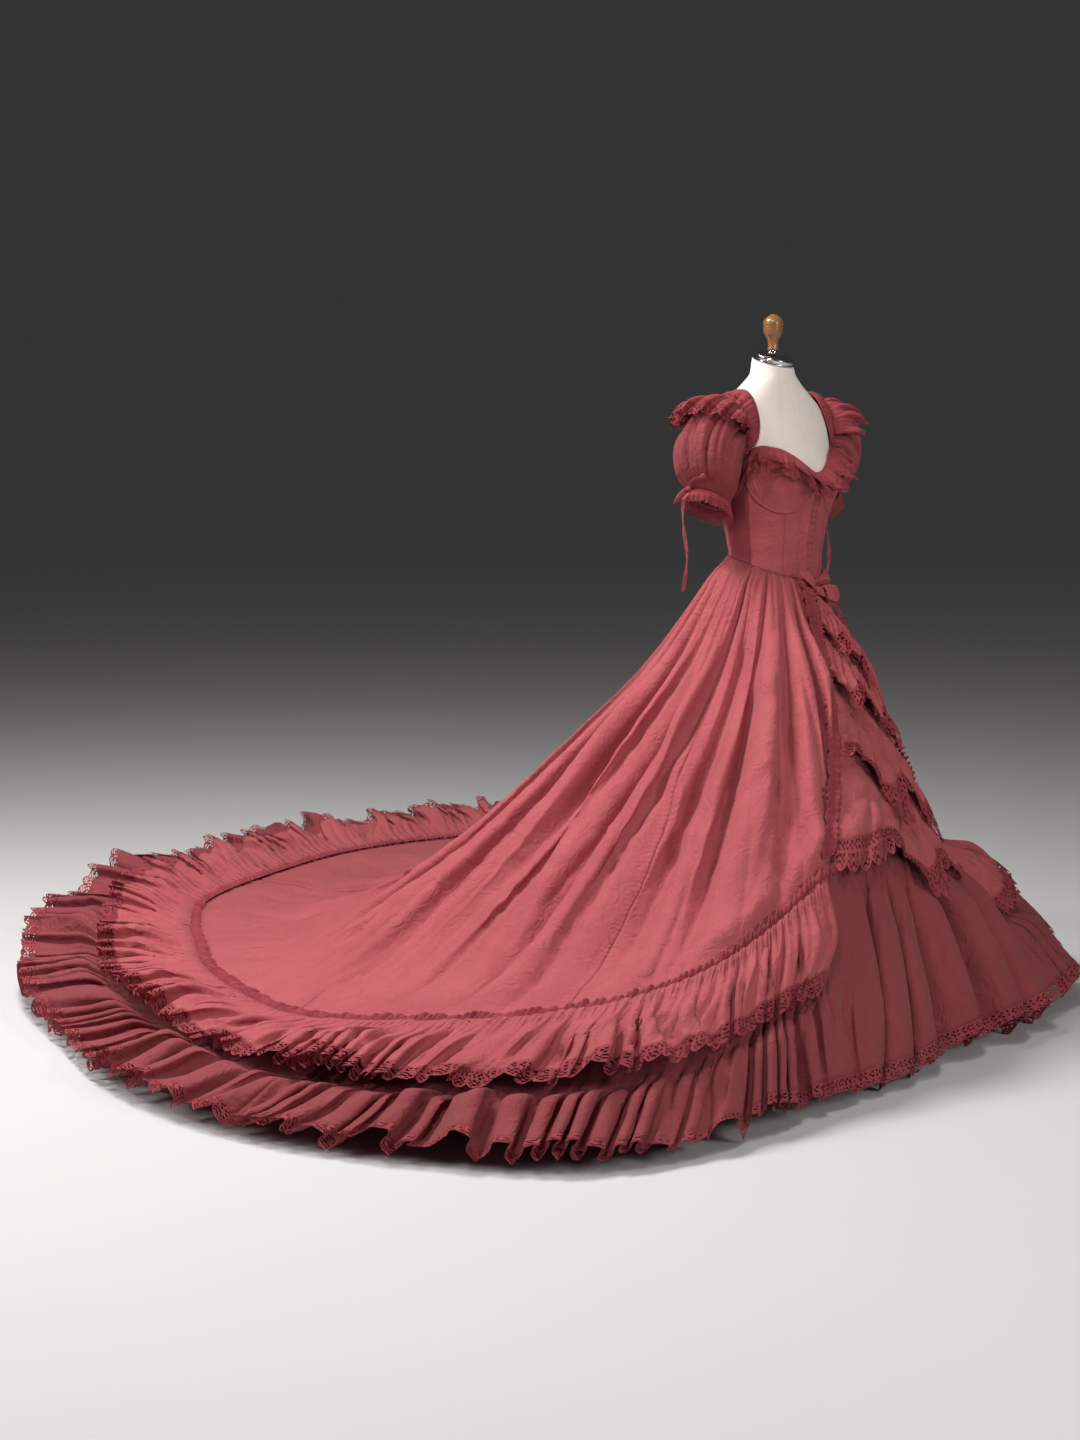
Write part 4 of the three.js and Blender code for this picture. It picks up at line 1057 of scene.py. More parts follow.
frill_thick, tie_thick = 0.9, 1.0
band_turn = (204, 150)  # degrees round the sleeve, from the knot on it to the knot at its edge
band_along = (0.86, 0.98)  # how far down the sleeve each of them is
for sign, tag in SIDES:
    middle = (-sign * 205, 15, 1310)
    cuff_middle = (-sign * 203, 20, 1200)
    on_sleeve = [f"sleeve_{tag}_cloth"]
    # The sleeves and their ties take the darker copy of the rose cotton: painted shade for the
    # shadow of the shoulder frill and of deep crinkles.
    sewn_piece(f"sleeve_{tag}_cloth", sleeve_sheet(sign), (176, 36), painted_shade_cotton, middle,
               (0.55, 0.22), "gathered", ["form_cover"], area=0.115, wraps=True)
    sewn_piece(f"cuff_frill_{tag}_cloth", cuff_sheet(sign), (160, 6), lace_cloth, cuff_middle,
               (0.42, 0.018), "gathered", on_sleeve, wraps=True, v_range=(0, 0.5),
               thick=frill_thick)
    lace_edging(f"cuff_lace_{tag}", cuff_sheet(sign), 34, (0.46, 1.0), away_from=cuff_middle,
                raised=0.3)
    knot = sleeve_point(sign, np.radians(band_turn[1]), np.array(band_along[1]), 2.3)
    for kind, columns, flat, area in (("loop", 24, (0.045, 0.018), 0.0006),
                                      ("tail", 90, (0.24, 0.0105), 0.0024)):
        sewn_piece(f"tie_{kind}_{tag}_cloth", tie_strip(knot, sign, kind), (columns, 6),
                   painted_shade_cotton, (0, 0, 1150), flat, "hung", on_sleeve, area=area, thick=tie_thick)
    knot_piece(f"tie_knot_{tag}", knot + np.array([-sign * 3.5, -1, -2]), (6, 7, 6.5), painted_shade_cotton,
               1)
    button = sleeve_point(sign, np.radians(band_turn[0]), np.array(band_along[0]), 3.5)

    def tie_band(u, v):
        turn = np.radians(lerp(*band_turn, u))
        along = lerp(*band_along, u) + 0.04 * (v - 0.5)
        return sleeve_point(sign, turn, along, 2 + 2 * np.cos(np.pi * (v - 0.5)))

    sewn_piece(f"tie_band_{tag}_cloth", tie_band, (40, 4), painted_shade_cotton, middle, (0.075, 0.0105),
               "gathered", on_sleeve, cut=(0.1, 0.0105), added=True, thick=tie_thick)
    knot_piece(f"sleeve_knot_{tag}", button, (6.5, 7.5, 7.5), painted_shade_cotton, 3)

# ==== Frills of the neckline =====================================================================
# Strips of cotton gathered along one edge and sewn on along the neckline, the straps and the top
# of the armholes. Each ends in scalloped lace; the front one lies in two layers.
neck_frill = {"width": 52, "rise": 15, "wave": 9, "sewn": 2.3}
shoulder_frill = {"from": 100, "to": 262, "share": 0.44, "out": 2, "rise": 22, "count": 8,
                  "sewn_in": 3}
strap_frill = {"front_end": -24, "back_end": 2, "inner": 4, "outer": 1.85, "rise": 13, "wave": 13}


def neck_frill_sheet(ends, waves, fine, seed, width, lift):
    """A frill that falls from the neckline, in waves over fine gathers."""
    def sheet(u, v, raised=0.0):
        phi = lerp(*ends, u)
        wave = swell(2 * np.pi * waves * u + 0.7 * wander(u * 9, seed))
        small = gathers(u * fine, seed)
        out = (wear_gap + neck_frill["sewn"] + lift + neck_frill["rise"] * v
               + 2.4 * neck_frill["wave"] * v * wave + (3 + 8 * v) * small * smooth(v, 0, 0.12))
        fall = neck_frill["width"] * width * v * (0.9 + 0.36 * wave + 0.1 * wander(u * 30, seed))
        return on_torso(phi, neckline_z(phi) - 1 - fall, out + raised)
    return sheet


frills = [
    # name, start and end, waves, fine gathers, seed, width, lift, lace repeats, flat, added
    ("neck_frill_front", (-84, 84), 9, 30, 71, 1.0, 0.0, 26, (0.56, 0.04), False),
    ("neck_frill_front_top", (-83, 83), 10, 28, 75, 0.6, 3.6, 26, (0.54, 0.024), True),
    ("neck_frill_back", (122, 238), 8, 34, 79, 1.0, 0.0, 24, (0.4, 0.035), False),
]
for name, ends, waves, fine, seed, width, lift, repeats, flat, added in frills:
    sheet = neck_frill_sheet(ends, waves, fine, seed, width, lift)
    sewn_piece(f"{name}_cloth", sheet, (210, 9), lace_cloth, body_axis, flat, "gathered",
               ["cup_r_cloth", "back_r_cloth"], added=added, thick=frill_thick, v_range=(0, 0.66))
    lace_edging(f"{name}_lace", sheet, repeats, (0.63, 1.0), away_from=body_axis, raised=0.6)


def strap_frill_sheet(sign):
    def sheet(u, v, raised=0.0):
        psi = lerp(-strap["front"] + strap_frill["front_end"], strap["back"]
                   - strap_frill["back_end"], u)
        wave = swell(16 * np.pi * u + 0.8 * wander(u * 9, 91 + sign))
        within = np.maximum(psi, -strap["front"])
        inner = strap_lateral(within, 0.0) + strap_frill["inner"]
        lateral = lerp(inner, strap_lateral(within, strap_frill["outer"]), v) + 9 * v * (wave - 0.5)
        lifted = (strap_frill["rise"] + strap_frill["wave"] * wave) * v
        small = (5 + 8 * v) * gathers(u * 24 + 0.8 * v, 83 + sign) * smooth(v, 0, 0.15)
        over_arm = 10 * smooth(v, 0.45, 1.0)
        return on_shoulder(sign, lateral, psi, wear_gap, 3.6 + lifted + small + over_arm + raised)
    return sheet


def shoulder_frill_sheet(sign):
    spec = shoulder_frill

    def sheet(u, v, raised=0.0):
        place = spec["count"] * u + 0.35 * wander(u * 9, 87 + sign)
        turn = np.radians(lerp(spec["from"], spec["to"], u + 0.012 * np.sin(4 * np.pi * place) * v))
        wave = swell(2 * np.pi * place)
        taper = np.sin(np.pi * np.clip(0.12 + 0.76 * u, 0, 1)) ** 0.6
        fine = (3 + 1.5 * v) * gathers(u * 26, 88 + sign) * smooth(v, 0, 0.12)
        flute = 27 * (wave - 0.3) * smooth(v, 0.1, 0.8)
        stands = 9 * smooth(v, 0, 0.2) + spec["out"] + 0.6 * spec["rise"] * v
        out = stands + np.maximum(flute, -6 * v)
        along = spec["share"] * taper * v * (0.95 + 0.12 * wave)
        point = sleeve_point(sign, turn, along, out + fine + raised)
        point[..., 0] += sign * spec["sewn_in"] * (1 - smooth(v, 0, 0.25))
        return point
    return sheet


for sign, tag in SIDES:
    sheet = strap_frill_sheet(sign)
    sewn_piece(f"strap_frill_{tag}_cloth", sheet, (140, 6), lace_cloth, shoulder_axis,
               (0.34, 0.035), "gathered", [f"strap_{tag}_cloth"], cut=(0.32, 0.03),
               thick=frill_thick, v_range=(0, 0.6))
    lace_edging(f"strap_lace_{tag}", sheet, 20, (0.56, 1.0), away_from=shoulder_axis, raised=0.4)
    sheet = shoulder_frill_sheet(sign)
    middle = (-sign * 190, 10, 1340)
    sewn_piece(f"shoulder_frill_{tag}_cloth", sheet, (230, 15), lace_cloth, middle,
               (0.45, 0.055), "gathered", [f"sleeve_{tag}_cloth"], cut=(0.5, 0.06),
               thick=frill_thick, v_range=(0, 0.74))
    lace_edging(f"shoulder_lace_{tag}", sheet, 30, (0.71, 1.0), away_from=middle, raised=0.4)

# ==== Overskirt and train ========================================================================
# Eight gores of cotton, gathered into the waist seam and swept back into a long train that swings
# to the wearer's left. It opens at the front; fine gathers at the waist run together into long
# folds that die away above the ruffles.
outline_rows = [
    # phi, hem radius, hem height, heading radius, heading height, wave
    (0, 620, 24, 430, 415, 16), (15, 660, 22, 490, 430, 18), (28, 770, 12, 600, 440, 20),
    (41, 890, 5, 730, 430, 22), (49, 1050, 3, 820, 360, 24), (57, 1310, 2, 980, 295, 26),
    (65, 1460, 2, 1090, 245, 28), (76, 1540, 2, 1155, 200, 30), (90, 1620, 2, 1225, 160, 34),
    (105, 1660, 2, 1255, 115, 38), (120, 1690, 2, 1295, 100, 42), (133, 1800, 2, 1375, 98, 46),
    (146, 1930, 2, 1470, 80, 50), (158, 2130, 2, 1640, 60, 62), (170, 2330, 2, 1880, 52, 70),
    (182, 2500, 2, 2055, 54, 76), (194, 2690, 2, 2245, 60, 80), (205, 2740, 2, 2310, 65, 80),
    (214, 2630, 2, 2220, 66, 76), (226, 2260, 2, 1850, 78, 66), (240, 1760, 2, 1350, 130, 50),
    (256, 1290, 2, 880, 245, 32), (270, 1060, 3, 620, 325, 26), (288, 890, 6, 460, 370, 22),
    (310, 745, 12, 385, 390, 18), (335, 650, 20, 390, 405, 16),
]
outline_columns = ("phi", "hem_r", "hem_z", "head_r", "head_z", "wave")
closed_rows = [(row[0] + turn, *row[1:]) for turn in (-360, 0, 360) for row in outline_rows]
outline_table = table(outline_columns, closed_rows)
sweep = 1.6

folds = table(("phi", "out", "half"), [
    (52, 22, 8), (64, 16, 8), (78, 30, 9), (93, 22, 8), (106, 34, 8), (119, 26, 7), (131, 40, 8),
    (145, 30, 8), (158, 42, 8), (171, 34, 7), (184, 46, 8), (197, 32, 8), (210, 40, 7),
    (223, 30, 8), (237, 34, 8), (251, 24, 8), (265, 28, 9), (281, 20, 9), (296, 22, 9),
    (313, 18, 9),
])
skirt_folds = {"waist": 3.2, "small": 9.0, "long": 10, "long_grown": 54, "broad": 16, "lower": 18,
               "rear_crease": 7, "seam": 2.2, "sunk": 26, "sunk_left": 34}  # mm
long_fold_phi = 9.2  # degrees from one long fold to the next
gore_end = 0.985
opening = {"right": (7, 41), "left": (6, 33)}
opening_curve = 0.75
gore_seams = [72, 108, 144, 180, 216, 252, 288]


def outline(phi, column):
    return read_curve(outline_table, "phi", column, np.mod(phi, 360))


def skirt_base(phi, t):
    """Radius and height of the skirt: t is 0 at the waist, 1 at the heading and 2 at the hem."""
    top = waist_z(phi) - TOUCH
    waist_r = torso_radius(phi, top, wear_gap)
    head_r, head_z = outline(phi, "head_r"), outline(phi, "head_z")
    hem_r, hem_z = outline(phi, "hem_r"), outline(phi, "hem_z")
    q = np.clip(t, 0, 1) ** 1.15
    hollow = np.maximum(1, sweep * (head_r - waist_r) / 1000)
    above_r = lerp(waist_r, head_r, q)
    above_z = head_z + (top - head_z) * np.clip(1 - q, 0, 1) ** hollow
    low = t - 1
    settle = 1 + 1.1 * smooth(hem_r, 900, 2200)
    below_r = lerp(head_r, hem_r, low)
    below_z = hem_z + (head_z - hem_z) * np.clip(1 - low, 0, 1) ** settle
    return np.where(t <= 1, above_r, below_r), np.where(t <= 1, above_z, below_z)


def over_skirt(phi, t, out):
    """A point at a distance off the skirt, square to it in the upright plane through phi."""
    phi, t = np.broadcast_arrays(np.asarray(phi, float), np.asarray(t, float))
    far_r, far_z = skirt_base(phi, t + 0.04)
    near_r, near_z = skirt_base(phi, np.maximum(t - 0.04, 0))
    run, drop = far_r - near_r, far_z - near_z
    lean = np.hypot(run, drop)
    r, z = skirt_base(phi, t)
    return around(phi, r - out * drop / lean, z + out * np.abs(run) / lean)


def fold_height(phi, t):
    out = np.zeros(np.broadcast(phi, t).shape)
    for fold_phi, height, half in zip(folds["phi"], folds["out"], folds["half"]):
        aside = np.abs(turned_from(phi, fold_phi)) / half
        out = out + np.where(aside < 1, height * (0.5 + 0.5 * np.cos(np.pi * aside)), 0)
    return out * smooth(t, 0, 0.35) * (1 - smooth(t, 0.6, 0.97))


def opening_edge(side, t):
    waist, heading = opening[side]
    angle = lerp(waist, heading, np.clip(t, 0, 1) ** opening_curve)
    return -angle if side == "left" else angle


# Main creases, listed one by one: where each starts and ends (angle and share of the way down), its
# depth and half width in mm, and how far it bows sideways in degrees.
crease_columns = ("from_phi", "from_t", "to_phi", "to_t", "deep", "half", "bow")
creases = table(crease_columns, [
    (62, 0.03, 47, 0.46, 9, 15, 3), (55, 0.08, 66, 0.62, 7, 18, -2),
    (84, 0.04, 58, 0.70, 10, 20, 5), (73, 0.12, 88, 0.80, 8, 22, 2),
    (44, 0.20, 52, 0.90, 7, 16, -3), (98, 0.05, 80, 0.92, 9, 24, 4),
    (110, 0.10, 101, 0.88, 10, 26, -3), (122, 0.06, 128, 0.80, 8, 24, 3),
    (136, 0.10, 120, 0.92, 11, 28, 4), (149, 0.05, 155, 0.86, 9, 26, -4),
    (164, 0.12, 150, 0.90, 12, 30, 3), (176, 0.06, 182, 0.78, 9, 26, 4),
    (190, 0.08, 176, 0.93, 12, 30, -4), (203, 0.10, 208, 0.84, 10, 28, 3),
    (217, 0.05, 203, 0.90, 11, 28, 4), (230, 0.12, 236, 0.82, 9, 24, -3),
    (244, 0.06, 231, 0.90, 10, 26, 3), (258, 0.08, 262, 0.76, 8, 20, 2),
    (272, 0.05, 258, 0.85, 9, 22, -3), (287, 0.10, 291, 0.90, 7, 18, 2),
    (301, 0.05, 289, 0.70, 8, 16, 3), (317, 0.08, 309, 0.80, 7, 15, -2),
    (96, 0.42, 70, 0.60, 6, 14, 2), (60, 0.52, 49, 0.66, 6, 12, -2),
    (128, 0.50, 108, 0.68, 7, 18, 2),
    (168, 0.55, 143, 0.70, 8, 20, -3), (212, 0.50, 190, 0.72, 8, 20, 3),
    (250, 0.48, 235, 0.66, 7, 16, 2),
])


def crease_height(phi, t, radius):
    """Ridges with a trough on one side, along the listed lines."""
    out = np.zeros_like(radius)
    for values in zip(*(creases[column] for column in crease_columns)):
        from_phi, from_t, to_phi, to_t, deep, half, bow = values
        along = (t - from_t) / (to_t - from_t)
        line = lerp(from_phi, to_phi, along) + bow * np.sin(np.pi * np.clip(along, 0, 1))
        aside = arc_mm(turned_from(phi, line), radius) / half
        fade = smooth(along, -0.05, 0.25) * (1 - smooth(along, 0.7, 1.05))
        ridge = bell(aside) - 0.75 * bell(aside - 1.7, 1.1)
        out += deep * ridge * fade
    return out


def long_place(phi, t):
    return phi / long_fold_phi + 0.4 * np.sin(2.6 * t + phi / 37)


def fold_shift(phi, t):
    """Degrees that the sides of the long folds move, so that they stand steep or lean over."""
    place = fold_place(long_place(phi, t), 107)
    free = smooth(t, 0.03, 0.3) * (1 - smooth(t, 0.55, 0.9))
    lean = 0.05 * np.sin(4 * np.pi * place) + 0.06 * np.cos(2 * np.pi * place)
    return long_fold_phi * lean * free


def skirt_relief(phi, t):
    """What stands off the plain skirt: folds, gathers at the waist, creases, crumple and seams.

    The whole is sunk by a little, more on the wearer's left, so that only the crests come out.
    """
    radius, _ = skirt_base(phi, t)
    spec = skirt_folds
    fine = spec["waist"] * gathers(phi / 3.1, 101) * (1 - smooth(t, 0.0, 0.09))
    small = spec["small"] * gathers(phi / 5.6 + 0.2 * np.sin(9 * t), 103, 0.8)
    small *= smooth(t, 0.0, 0.05) * (1 - smooth(t, 0.12, 0.34))
    rear = smooth(half_angle(phi), 95, 135)
    long_fold = spec["long"] + spec["long_grown"] * smooth(t, 0.03, 0.42)
    long_fold = long_fold * gathers(long_place(phi, t), 107, 0.8)
    long_fold *= smooth(t, 0.0, 0.06) * (1 - (0.45 + 0.5 * rear) * smooth(t, 0.5, 0.93))
    broad_fold = spec["broad"] * gathers(phi / 21.0 + 0.3 * np.sin(2 * t + 2), 111, 1.2)
    broad_fold *= smooth(t, 0.15, 0.5) * (1 - smooth(t, 0.75, 1.0))
    crumple = ripple(phi * radius / 9000, t * 7, 109) * (1.5 + 3.0 * smooth(t, 0.1, 0.5))
    crumple += 1.8 * ripple(phi * radius / 3000, t * 16, 113) * smooth(t, 0.05, 0.3)
    crumple += 5.5 * ripple(phi * radius / 3600, t * 4.5, 117) * smooth(t, 0.3, 0.65)
    rear_crease = spec["rear_crease"] * gathers(phi / 3.3 + 0.9 * np.sin(5 * t), 119)
    crumple += rear_crease * smooth(t, 0.5, 0.66) * rear
    rough = crease_height(phi, t, radius) + crumple
    settled = 1 - smooth(t, 0.88, 0.97)
    edge = smooth(half_angle(phi), 12, 16)
    seam = np.zeros_like(radius)
    for line in gore_seams:
        seam -= spec["seam"] * bell(arc_mm(phi - line, radius), 3.2)
    lower_fold = spec["lower"] * gathers(phi / 5.1 + 0.3 * np.sin(2.2 * t), 115, 0.7)
    lower_fold *= smooth(t, 0.3, 0.6) * (1 - 0.85 * rear)
    loose = (long_fold + broad_fold + lower_fold) * (1 - smooth(t, 0.9, 0.975))
    sunk = spec["sunk"] + spec["sunk_left"] * smooth(phi, 250, 285)
    sunk = sunk * smooth(t, 0.03, 0.25) * (1 - smooth(t, 0.8, 0.97))
    return fold_height(phi, t) + fine + small + loose + rough * settled * edge + seam - sunk


def gore_sheet(index):
    edges = [None, *gore_seams, None]
    start, end = edges[index], edges[index + 1]

    def sheet(u, v):
        t = gore_end * v
        first = opening_edge("right", t) if start is None else start
        last = 360 + opening_edge("left", t) if end is None else end
        phi = lerp(first, last, u)
        beside = np.minimum(u if start is None else 1.0, (1 - u) if end is None else 1.0)
        held = smooth(beside, 0.0, 0.08)
        return over_skirt(phi + fold_shift(phi, t) * held, t, skirt_relief(phi, t) * held)
    return sheet


below_floor = (0, 300, -1500)
gore_cuts = [  # width at its widest and length in metres, flat area in square metres
    (0.65, 1.2, 0.48), (0.8, 1.45, 0.72), (0.9, 1.6, 0.8), (1.15, 2.1, 1.22), (1.5, 2.6, 1.85),
    (1.2, 2.4, 1.06), (0.55, 1.2, 0.36), (0.4, 0.85, 0.24),
]
gore_columns = (100, 76, 70, 72, 76, 60, 50, 70)
for index, (*flat, area) in enumerate(gore_cuts):
    sewn_piece(f"skirt_gore_{index + 1}_cloth", gore_sheet(index), (gore_columns[index], 76),
               cotton, below_floor, flat, "gathered", ["front_panel_bodice_r_cloth"], area=area,
               gather=lambda u, v: 0.5 * (1 - smooth(v, 0.0, 0.05)),
               pucker=lambda u, v: 0.3 * bell(np.minimum(u, 1 - u), 0.035))

# ==== Lower tier =================================================================================
# A deep strip gathered onto the end of the skirt all the way round. It stands in waves, lies on
# the floor round the train, and ends in a wide lace edging.
lower_tier = {"start": 0.986, "end": 2, "waves": 56, "share": 0.8, "pieces": 5,
              "folds": 2.8, "fold_height": 58}
upper_tier = {"start": 0.98, "end": 1.5, "waves": 44, "lift": 5, "share": 0.6, "pieces": 4,
              "folds": 3.3, "fold_height": 46}


def hem_shares(start, end):
    phi = np.linspace(start, end, 2881)
    hem = around(phi, outline(phi, "hem_r"), 0)
    length = np.concatenate([[0], np.cumsum(np.linalg.norm(np.diff(hem, axis=0), axis=1))])
    return length / length[-1], phi


def wave_height(tier, share, phi):
    uneven = 0.35 * np.sin(14 * np.pi * share) + 0.25 * np.sin(38 * np.pi * share)
    size = 0.72 + 0.28 * np.sin(26 * np.pi * share + 1)
    crest = swell(2 * np.pi * tier["waves"] * share + uneven)
    return outline(phi, "wave") * tier["share"] * size * crest


def tier_strips(tier):
    """The number of each strip of a tier and the shares of the hem between which it lies."""
    count = tier["pieces"]
    return [(index + 1, index / count, (index + 1) / count) for index in range(count)]


def openness(tier, t):
    return smooth(t, tier["start"], lerp(tier["start"], tier["end"], 0.85))


def tier_folds(tier, share, v, seed):
    """Gathers that run together into free folds, and the sideways shift that steepens them."""
    count = tier["waves"] * tier["folds"]
    uneven = 1.5 * wander(share * 30, seed) + 0.45 * wander(share * 110, seed + 1)
    place = share * count + uneven + 0.45 * np.sin(2.6 * v + share * 70)
    size = 0.6 + 0.4 * wander(share * count * 0.4, seed + 7)
    grown = smooth(v, 0.0, 0.65)
    free = tier["fold_height"] * size * np.abs(np.sin(np.pi * place)) ** 0.8 * grown
    half = 17.0 * gathers(share * count * 2.1 + uneven + 0.3 * np.sin(6 * v), seed + 3, 0.8)
    half *= smooth(v, 0.0, 0.08) * (1 - smooth(v, 0.4, 0.95))
    shift = (0.13 * np.sin(4 * np.pi * place) + 0.12 * np.cos(2 * np.pi * place)) * grown / count
    return free + half, shift


front_folds = {"count": 66, "swing": 116, "rest": 54, "fine": 9, "pinch": 15, "deepest": 60}  # mm


def lower_sheet(rows, first, last):
    """A strip of the lower tier: free folds to the hem, and deep hanging ones at the front."""
    spec = front_folds

    def sheet(u, v, raised=0.0):
        share = lerp(first, last, u)
        t = lerp(lower_tier["start"], lower_tier["end"], v)
        front = 1 - smooth(half_angle(np.interp(share, *rows)), 30, 42)
        free = np.maximum(smooth(t, 1.38, 1.62), front)
        relief, shift = tier_folds(lower_tier, share, v, 121)
        place = fold_place(share * spec["count"] + 0.2 * np.sin(3 * v), 131)
        grown = smooth(v, 0.0, 0.4)
        shift = lerp(shift, -0.14 * np.sin(2 * np.pi * place) * grown / spec["count"], front)
        phi = np.interp(share + shift * free * inside_ends(u, 0.04), *rows)
        wave = wave_height(lower_tier, share, phi) * openness(lower_tier, t)
        crumple = 3.5 * ripple(share * 90, v * 3.6, 127) * smooth(v, 0.1, 0.4)
        crest = np.abs(np.sin(np.pi * place)) ** 0.85
        hanging = (spec["swing"] * crest * (0.8 + 0.35 * wander(share * 40, 139))
                   - spec["rest"]) * grown
        pinched = spec["pinch"] * gathers(share * 330, 133)
        pinched = pinched * smooth(v, 0.0, 0.05) * (1 - smooth(v, 0.1, 0.5))
        fine = spec["fine"] * gathers(share * 190 + 0.3 * v, 135)
        relief = lerp(relief, hanging + pinched + fine, front)
        relief = relief + 30 * gathers(share * 80, 137, 0.4) * smooth(v, 0.1, 0.6) * (1 - front)
        closed = inside_ends(share, 0.006)
        out = wave + (relief + crumple) * closed * np.maximum(free, 0.12) + raised
        point = over_skirt(phi, t, np.maximum(out, 0.8 - spec["deepest"] * front * grown))
        point[..., 2] = np.maximum(point[..., 2], 1.0)  # clear of the floor
        return point
    return sheet


lace_from = {"lower": 0.90, "upper": 0.79}
on_skirt = ["skirt_gore_3_cloth"]
lace_repeats = 84  # repeats of the edging on each strip of a tier
lower_rows = hem_shares(0, 360)
for number, first, last in tier_strips(lower_tier):
    sheet = lower_sheet(lower_rows, first, last)
    # The lower tier takes the darker copy of the rose cotton: painted shade for the shade under the
    # upper tier and in its folds.
    sewn_piece(f"lower_ruffle_{number}_cloth", sheet, (350, 23), painted_shade_cotton, below_floor,
               (2.4, 0.40), "gathered", on_skirt, v_range=(0, lace_from["lower"] + 0.01),
               gather=lambda u, v: 0.7 * (1 - smooth(v, 0.02, 0.14)))
    lace_edging(f"lower_lace_{number}", sheet, lace_repeats, (lace_from["lower"], 1.0),
                away_from=below_floor, raised=1.2)

# ==== Upper tier =================================================================================
# A second, shorter strip over the lower tier, on the overskirt only. Its heading is a ruched band
# that stands up in a small roll along the seam; its free edge has the same lace.


def upper_sheet(rows, first, last):
    def sheet(u, v, raised=0.0):
        share = lerp(first, last, u)
        t = lerp(upper_tier["start"], upper_tier["end"], v)
        relief, shift = tier_folds(upper_tier, share, v, 141)
        phi = np.interp(share + shift * inside_ends(u, 0.04), *rows)
        highest = outline(phi, "wave") * lower_tier["share"] * openness(lower_tier, t)
        wave = wave_height(upper_tier, share, phi) * openness(upper_tier, t)
        crumple = 2.8 * ripple(share * 90, v * 2.6, 149) * smooth(v, 0.1, 0.5)
        relief = relief + 34 * gathers(share * 62 + 0.2 * v, 155, 0.4) * smooth(v, 0.05, 0.5)
        beside = np.minimum(share, 1 - share)
        ends = 0.75 + 0.25 * smooth(beside, 0.0, 0.008)
        turned = (1 - smooth(beside, 0.0, 0.02)) * np.where(share < 0.5, -1.0, 1.0)
        phi = phi + turned * (2.0 * np.sin(4.5 * v) + 0.4 * np.sin(13 * v + 1)) * v
        falling = highest + (wave + relief + crumple) * ends + 7 * smooth(v, 0.5, 1) * ends
        sewn = 2.6 * bell(v, 0.02)
        return over_skirt(phi, t, upper_tier["lift"] + falling - sewn + raised)
    return sheet


def heading_sheet(rows, first, last):
    """The ruched band over the seam: a soft roll pinched again and again across its width."""
    band_width = 30.0

    def sheet(u, v):
        share = lerp(first, last, u)
        phi = np.interp(share, *rows)
        r0, z0 = skirt_base(phi, np.full_like(phi, 0.93))
        r1, z1 = skirt_base(phi, np.full_like(phi, 0.98))
        per_t = np.hypot(r1 - r0, z1 - z0) / 0.05
        ruche = gathers(share * upper_tier["waves"] * 10, 151, 0.7)
        uneven = 0.85 + 0.2 * wander(share * 900, 153)
        rim = 15 * (ruche - 0.4) * (1 - v) ** 2
        t = 0.990 - ((1 - v) * band_width * uneven + rim) / per_t
        roll = 3 + (4 + 17 * np.sin(np.pi * np.clip(v, 0.04, 1)) ** 0.6) * (0.25 + 0.75 * ruche)
        return over_skirt(phi, t, roll * uneven)
    return sheet


upper_rows = hem_shares(opening["right"][1], 360 - opening["left"][1])
for number, first, last in tier_strips(upper_tier):
    sheet = upper_sheet(upper_rows, first, last)
    sewn_piece(f"upper_ruffle_{number}_cloth", sheet, (330, 19), cotton, below_floor, (2.3, 0.21),
               "gathered", on_skirt, cut=(2.4, 0.2), v_range=(0, lace_from["upper"] + 0.02),
               gather=lambda u, v: 0.8 * (1 - smooth(v, 0.03, 0.32)))
    lace_edging(f"upper_lace_{number}", sheet, lace_repeats, (lace_from["upper"], 1.0),
                away_from=below_floor, raised=1.2)
    sewn_piece(f"upper_heading_{number}_cloth", heading_sheet(upper_rows, first, last), (800, 6),
               lace_cloth, below_floor, (3.3, 0.03), "gathered", on_skirt, area=0.07,
               cut=(2.4, 0.05), added=True, thick=0)

# ==== Front opening ==============================================================================
# Between the edges of the overskirt lies a plain underskirt panel, and over it four soft swags
# with lace along their lower edges, each hanging over the one below.
swags = [
    # name, where it starts on the right and the left edge, fall, flat, lace repeats
    ("swag_1", 0.04, 0.1, 0.27, (0.12, 0.2), 8), ("swag_2", 0.22, 0.3, 0.28, (0.22, 0.23), 13),
    ("swag_3", 0.42, 0.5, 0.36, (0.36, 0.31), 19), ("swag_4", 0.61, 0.69, 0.44, (0.48, 0.42), 25),
]
swag_out = {"top": 3.1, "bottom": 24, "wave": 7, "inside": 4}


def beside_edge(side, t, length):
    r, z = skirt_base(opening_edge(side, t), t)
    turn = np.degrees(length / r)
    return opening_edge(side, t) + (-turn if side == "left" else turn)


def front_panel_sheet(u, v):
    t = v * gore_end
    right, left = beside_edge("right", t, -2 * TOUCH), beside_edge("left", t, -2 * TOUCH)
    relief = 5 * gathers(u * 13, 151, 1.0) * smooth(t, 0.05, 0.3) * np.sin(np.pi * u) ** 0.5
    return over_skirt(lerp(left, right, u), t, -0.4 * relief)


opening_axis = (0, 0, 600)
sewn_piece("front_panel_cloth", front_panel_sheet, (40, 30), cotton, opening_axis, (0.42, 0.75),
           "hung", ["placket_cloth"], area=0.2, cut=(0.5, 0.8))


